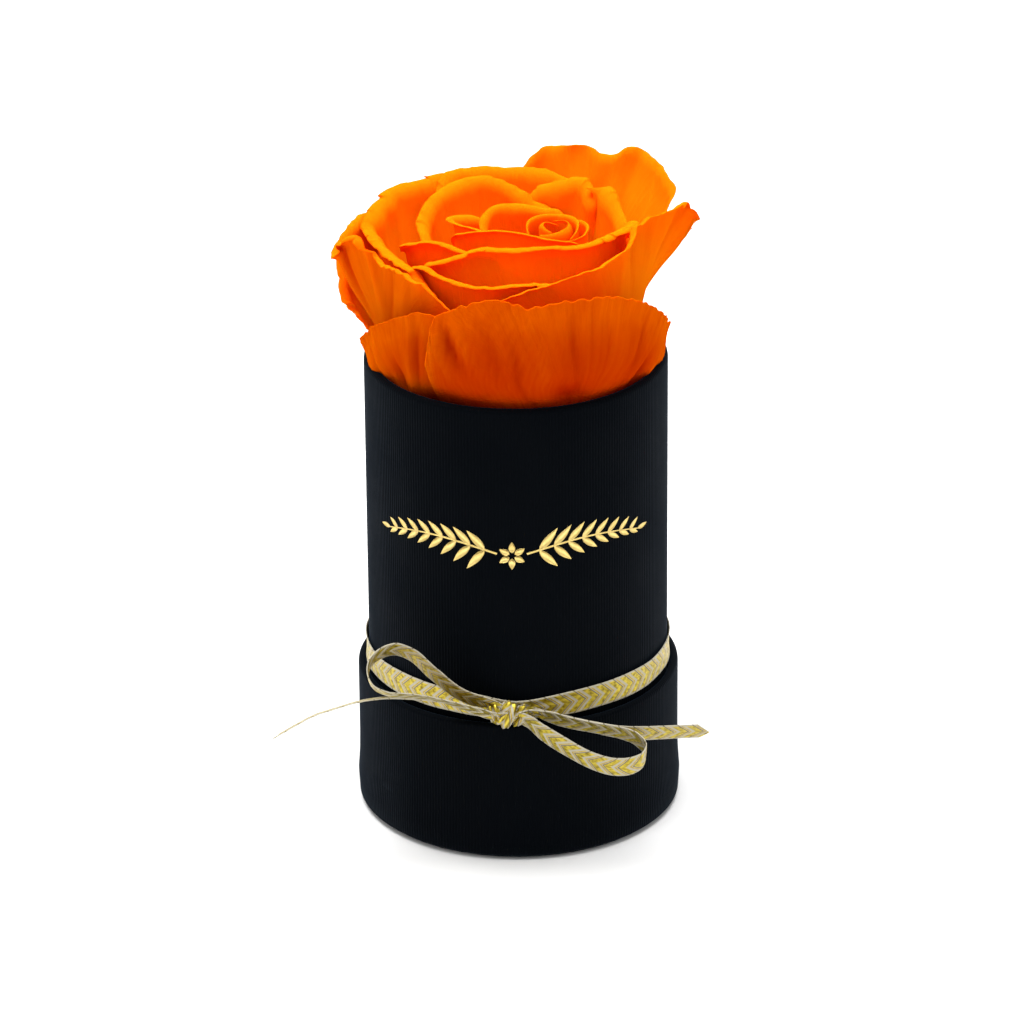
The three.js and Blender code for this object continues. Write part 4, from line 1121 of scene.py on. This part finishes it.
def petal_piece(name, stations, seed, material):
    _, _, ruffle, scallop, scallop_length, veins, tone = STYLES[name.split("_")[0]]
    places, margin_at = even_places(stations)
    lip, turn = lip_sizes(name, margin_at, seed)
    angles = lip_angles(turn)
    rise = np.cumsum(np.cos(angles), axis=0).max(axis=0) * lip / PETAL_LIP_ROWS
    overhang = np.sin(angles).mean(axis=0) * lip

    # Each column of the body ends below the margin by the lip's rise
    ups = np.linspace(0, PETAL_FINE_SPAN, PETAL_FINE_ROWS)[:, None]
    fine = petal_points(stations, np.broadcast_to(places, (PETAL_FINE_ROWS, len(places))), ups)
    lengths = lengths_along(fine)
    edge = scallop * ripple(margin_at, scallop_length, seed + 100, 2)
    full = lengths[PETAL_MARGIN_ROW] + edge - rise
    for place_along, half_width, depth in NICKS.get(name, []):
        full -= depth * hump((margin_at - place_along * margin_at[-1]) / half_width)
    share = np.linspace(0, 1, PETAL_BODY_ROWS + 1)[:, None] ** 0.85
    body = np.empty((len(share), len(places), 3))
    for i in range(len(places)):
        for axis in range(3):
            body[:, i, axis] = np.interp(share[:, 0] * full[i], lengths[:, i], fine[:, i, axis])

    # Ruffles near the margin, veins that fan out from far below it, and folds
    down = (1 - share) * full
    fanned = (margin_at - margin_at[-1] / 2) / np.maximum(VEIN_NARROWEST, 1 - down / VEIN_FAN)
    relief = veins * ripple(fanned + 0.4 * np.sin(down / 6 + seed), 3.6, seed + 300) * smooth(share / 0.5)
    folds = creased(name, margin_at, down)
    push = ruffle * ripple(margin_at + 0.15 * down, 11, seed + 200) * np.exp(-down / 5)
    push += relief + folds
    push -= 0.5 * overhang * np.exp(-down / 7)
    body += grid_normals(body) * push[..., None]
    middle = rolled_lip(body, lip, turn)

    height = onto_lip(share)
    thick = PETAL_THICKNESS + 0.06 * smooth(height / 0.4)
    thick[-len(PETAL_LIP_EDGE) :, 0] = PETAL_LIP_EDGE
    beyond = np.arange(1, PETAL_LIP_ROWS + 1)[:, None] / PETAL_LIP_ROWS * lip
    reach = np.concatenate([share * full, full + beyond])
    # Painted depth is 0 at the margin and rises further in and over the lower half: painted shade on the
    # outer face, painted light on the inner face
    away = np.exp((reach - reach[-1:]) / PAINTED_DEPTH_REACH)
    depth = 1 - (1 - 0.85 * clamped((0.5 - away) / 0.47)) * (1 - 0.6 * clamped((0.5 - height) / 0.4))
    # Painted shading of folds and veins: shade where they sink in, the margin's colour where they stand out
    relief_shading = onto_lip(FOLD_SHADING * folds + VEIN_SHADING * relief)

    def marks_of(outer):
        return vectors(tone if outer else 1.0, depth, clamped(0.5 + (relief_shading if outer else -relief_shading)))

    thickness = np.broadcast_to(thick, reach.shape)
    piece = sheet_mesh(name, middle, thickness, vectors(onto_lip(fanned), reach), marks_of)
    place(piece, material, "rose_petal", [name])


petal_material = preserved_petal()
for number, (petal_name, petal_stations) in enumerate(PETALS.items()):
    petal_piece(petal_name, petal_stations, number, petal_material)


def add_heart_bud(material):
    """The innermost petal, rolled up into a loose spiral."""
    turn = np.linspace(0, BUD_TURNS, 96)
    share = np.linspace(0, 1, 30)[:, None]
    reach = share * (BUD_TOP + 0.5 * np.sin(turn * 5 + 1) - 0.4 * turn - BUD_FOOT)
    height = BUD_FOOT + reach
    radius = (BUD_CORE + BUD_PITCH * turn) * (0.6 + 0.4 * smooth(share / 0.3))
    radius = radius * (1 - 0.35 * smooth((share - 0.9) / 0.1))
    lean = bowl_growth(height) ** 3 * (1 - 1.5 / OUTER_BOWL)
    middle = around(turn * 360 + 20, radius, height) + vectors(HEART_X * lean, HEART_Y * lean, 0)
    thickness = np.broadcast_to(PETAL_THICKNESS - 0.16 * smooth((share - 0.96) / 0.04), reach.shape)

    # The marks: which face, painted depth from the bud's margin, and a fixed fold mark that paints the whole
    # bud with some painted fold shade
    def marks_of(outer):
        return vectors(1.0 - 0.3 * outer, 1 - np.exp((reach - reach[-1:]) / 3), 0.35)

    piece = sheet_mesh("heart_bud", middle, thickness, vectors(turn * 6, reach), marks_of)
    place(piece, material, "rose_petal", ["heart_bud"])


add_heart_bud(petal_material)


def add_calyx_and_stem(material):
    azimuth = whole_turn(60)
    ribs = 0.12 * np.cos(np.radians(azimuth) * 5)
    rows = [around(azimuth, radius + ribs, height) for radius, height in CALYX_RINGS]
    for bowl in CALYX_BOWLS:
        rows.append(bowl_point(bowl, azimuth, np.full(len(azimuth), petal_foot(bowl)), 0.65 - 0.3 * ribs))
    place(turned_mesh("calyx", np.array(rows)), material, "stem_green", ["calyx"])
    height = np.linspace(STEM_FOOT, CALYX_BOTTOM - GAP, 24)[:, None]
    taper = 0.7 + 0.3 * smooth((height - STEM_FOOT) / 3)
    knobbly = 1 - 0.04 * (1 + np.sin(height / 2.3) * np.cos(np.radians(azimuth) * 3))
    stem = around(azimuth, STEM_RADIUS * taper * knobbly, height)
    place(turned_mesh("stem", stem), material, "stem_green", ["stem"])


def add_sepals(material):
    """Pointed green leaves under the petals, cupped, with a midrib and a finely toothed edge."""
    rows, columns = 40, 13
    share = np.linspace(0, 1, rows)
    line = np.array(SEPAL_LINE, float)
    radius = np.interp(share * 4, range(5), line[:, 0])
    height = np.interp(share * 4, range(5), line[:, 1])
    height = np.convolve(np.pad(height, 3, mode="edge"), np.ones(7) / 7, mode="valid")
    half = SEPAL_WIDTH / 2 * np.sin(math.pi * (0.22 + 0.77 * share)) * (1 + 0.05 * np.sin(share * 60))
    sides = np.linspace(-1, 1, columns)
    for n in range(SEPAL_COUNT):
        azimuth = 360 * n / SEPAL_COUNT + 20
        out = around(azimuth, 1.0, 0.0)
        beside = around(azimuth + 90, 1.0, 0.0)
        middle = out * radius[:, None, None] + beside * (sides * half[:, None])[..., None]
        cup = 0.12 * sides**2 - 0.1 * hump(sides / 0.15)
        middle[..., 2] = height[:, None] + cup
        thickness = np.broadcast_to(0.42 - 0.2 * sides**2, (rows, columns))
        uv = vectors(sides * half[:, None], radius[:, None])
        name = f"sepal_{n + 1}"
        place(sheet_mesh(name, middle, thickness, uv), material, "stem_green", [name])


green_material = dried_green()
add_calyx_and_stem(green_material)
add_sepals(green_material)


def add_foam(material):
    """The foam plug, with a crumbly face and a hole for the stem."""
    azimuth = whole_turn(120)
    bore = STEM_RADIUS + STEM_PLAY
    face = FOAM_TOP - 0.2
    hole_foot = STEM_FOOT - GAP
    profile = [(0.3, FOAM_FOOT), (16, FOAM_FOOT), (FOAM_RADIUS - 0.6, FOAM_FOOT)]
    profile += [(FOAM_RADIUS, height) for height in (FOAM_FOOT + 0.6, *range(10, 85, 5))]
    profile += [(radius, face) for radius in (FOAM_RADIUS - 0.5, *range(32, 3, -1))]
    profile += [(bore, FOAM_TOP - 0.6), (bore, STEM_FOOT + 4), (bore, hole_foot), (0.3, hole_foot)]
    rows = []
    for n, (radius, height) in enumerate(profile):
        crumble = 0.16 * ripple(azimuth * 0.7, 9, n) * (height > FOAM_TOP - 1) * (radius > bore)
        rows.append(around(azimuth, radius, height + crumble))
    place(turned_mesh("foam_plug", np.array(rows)), material, "foam", ["foam_plug"])


add_foam(dry_foam())

# The studio, in metres and watts. A lamp has a place, the height that it faces on the Z axis, its diameter
# and its power.

FLOOR_HALF = 2.5
FLOOR_HEIGHT = -0.0004
WORLD_STRENGTH = 0.82
LAMPS = {
    "overhead softbox": ((-0.12, 0.15, 1.6), 0.1, 1.6, 52),
    "left fill": ((-1.2, -0.5, 1.0), 0.08, 0.7, 2.4),
    "right fill": ((1.2, -0.5, 1.0), 0.08, 0.7, 1.8),
}


def add_floor(material):
    corners = [(-1, -1), (1, -1), (1, 1), (-1, 1)]
    points = [(x * FLOOR_HALF, y * FLOOR_HALF, FLOOR_HEIGHT) for x, y in corners]
    mesh = bpy.data.meshes.new("floor")
    mesh.from_pydata(points, [], [(0, 1, 2, 3)])
    floor = new_object("floor", mesh)
    floor.data.materials.append(material)


def add_lamp(name, spot, faced, size, watts):
    light = bpy.data.lights.new(name, "AREA")
    light.shape = "DISK"
    light.size = size
    light.energy = watts
    lamp = new_object(name, light)
    lamp.location = spot
    lamp.rotation_euler = (Vector((0, 0, faced)) - Vector(spot)).to_track_quat("-Z", "Y").to_euler()


def add_world():
    world = bpy.data.worlds.new("studio")
    world.use_nodes = True
    background = world.node_tree.nodes["Background"]
    background.inputs["Color"].default_value = (1, 1, 1, 1)
    background.inputs["Strength"].default_value = WORLD_STRENGTH
    bpy.context.scene.world = world


add_floor(white_floor())
for lamp_name, lamp_sizes in LAMPS.items():
    add_lamp(lamp_name, *lamp_sizes)
add_world()
bpy.context.scene.view_settings.view_transform = "Standard"
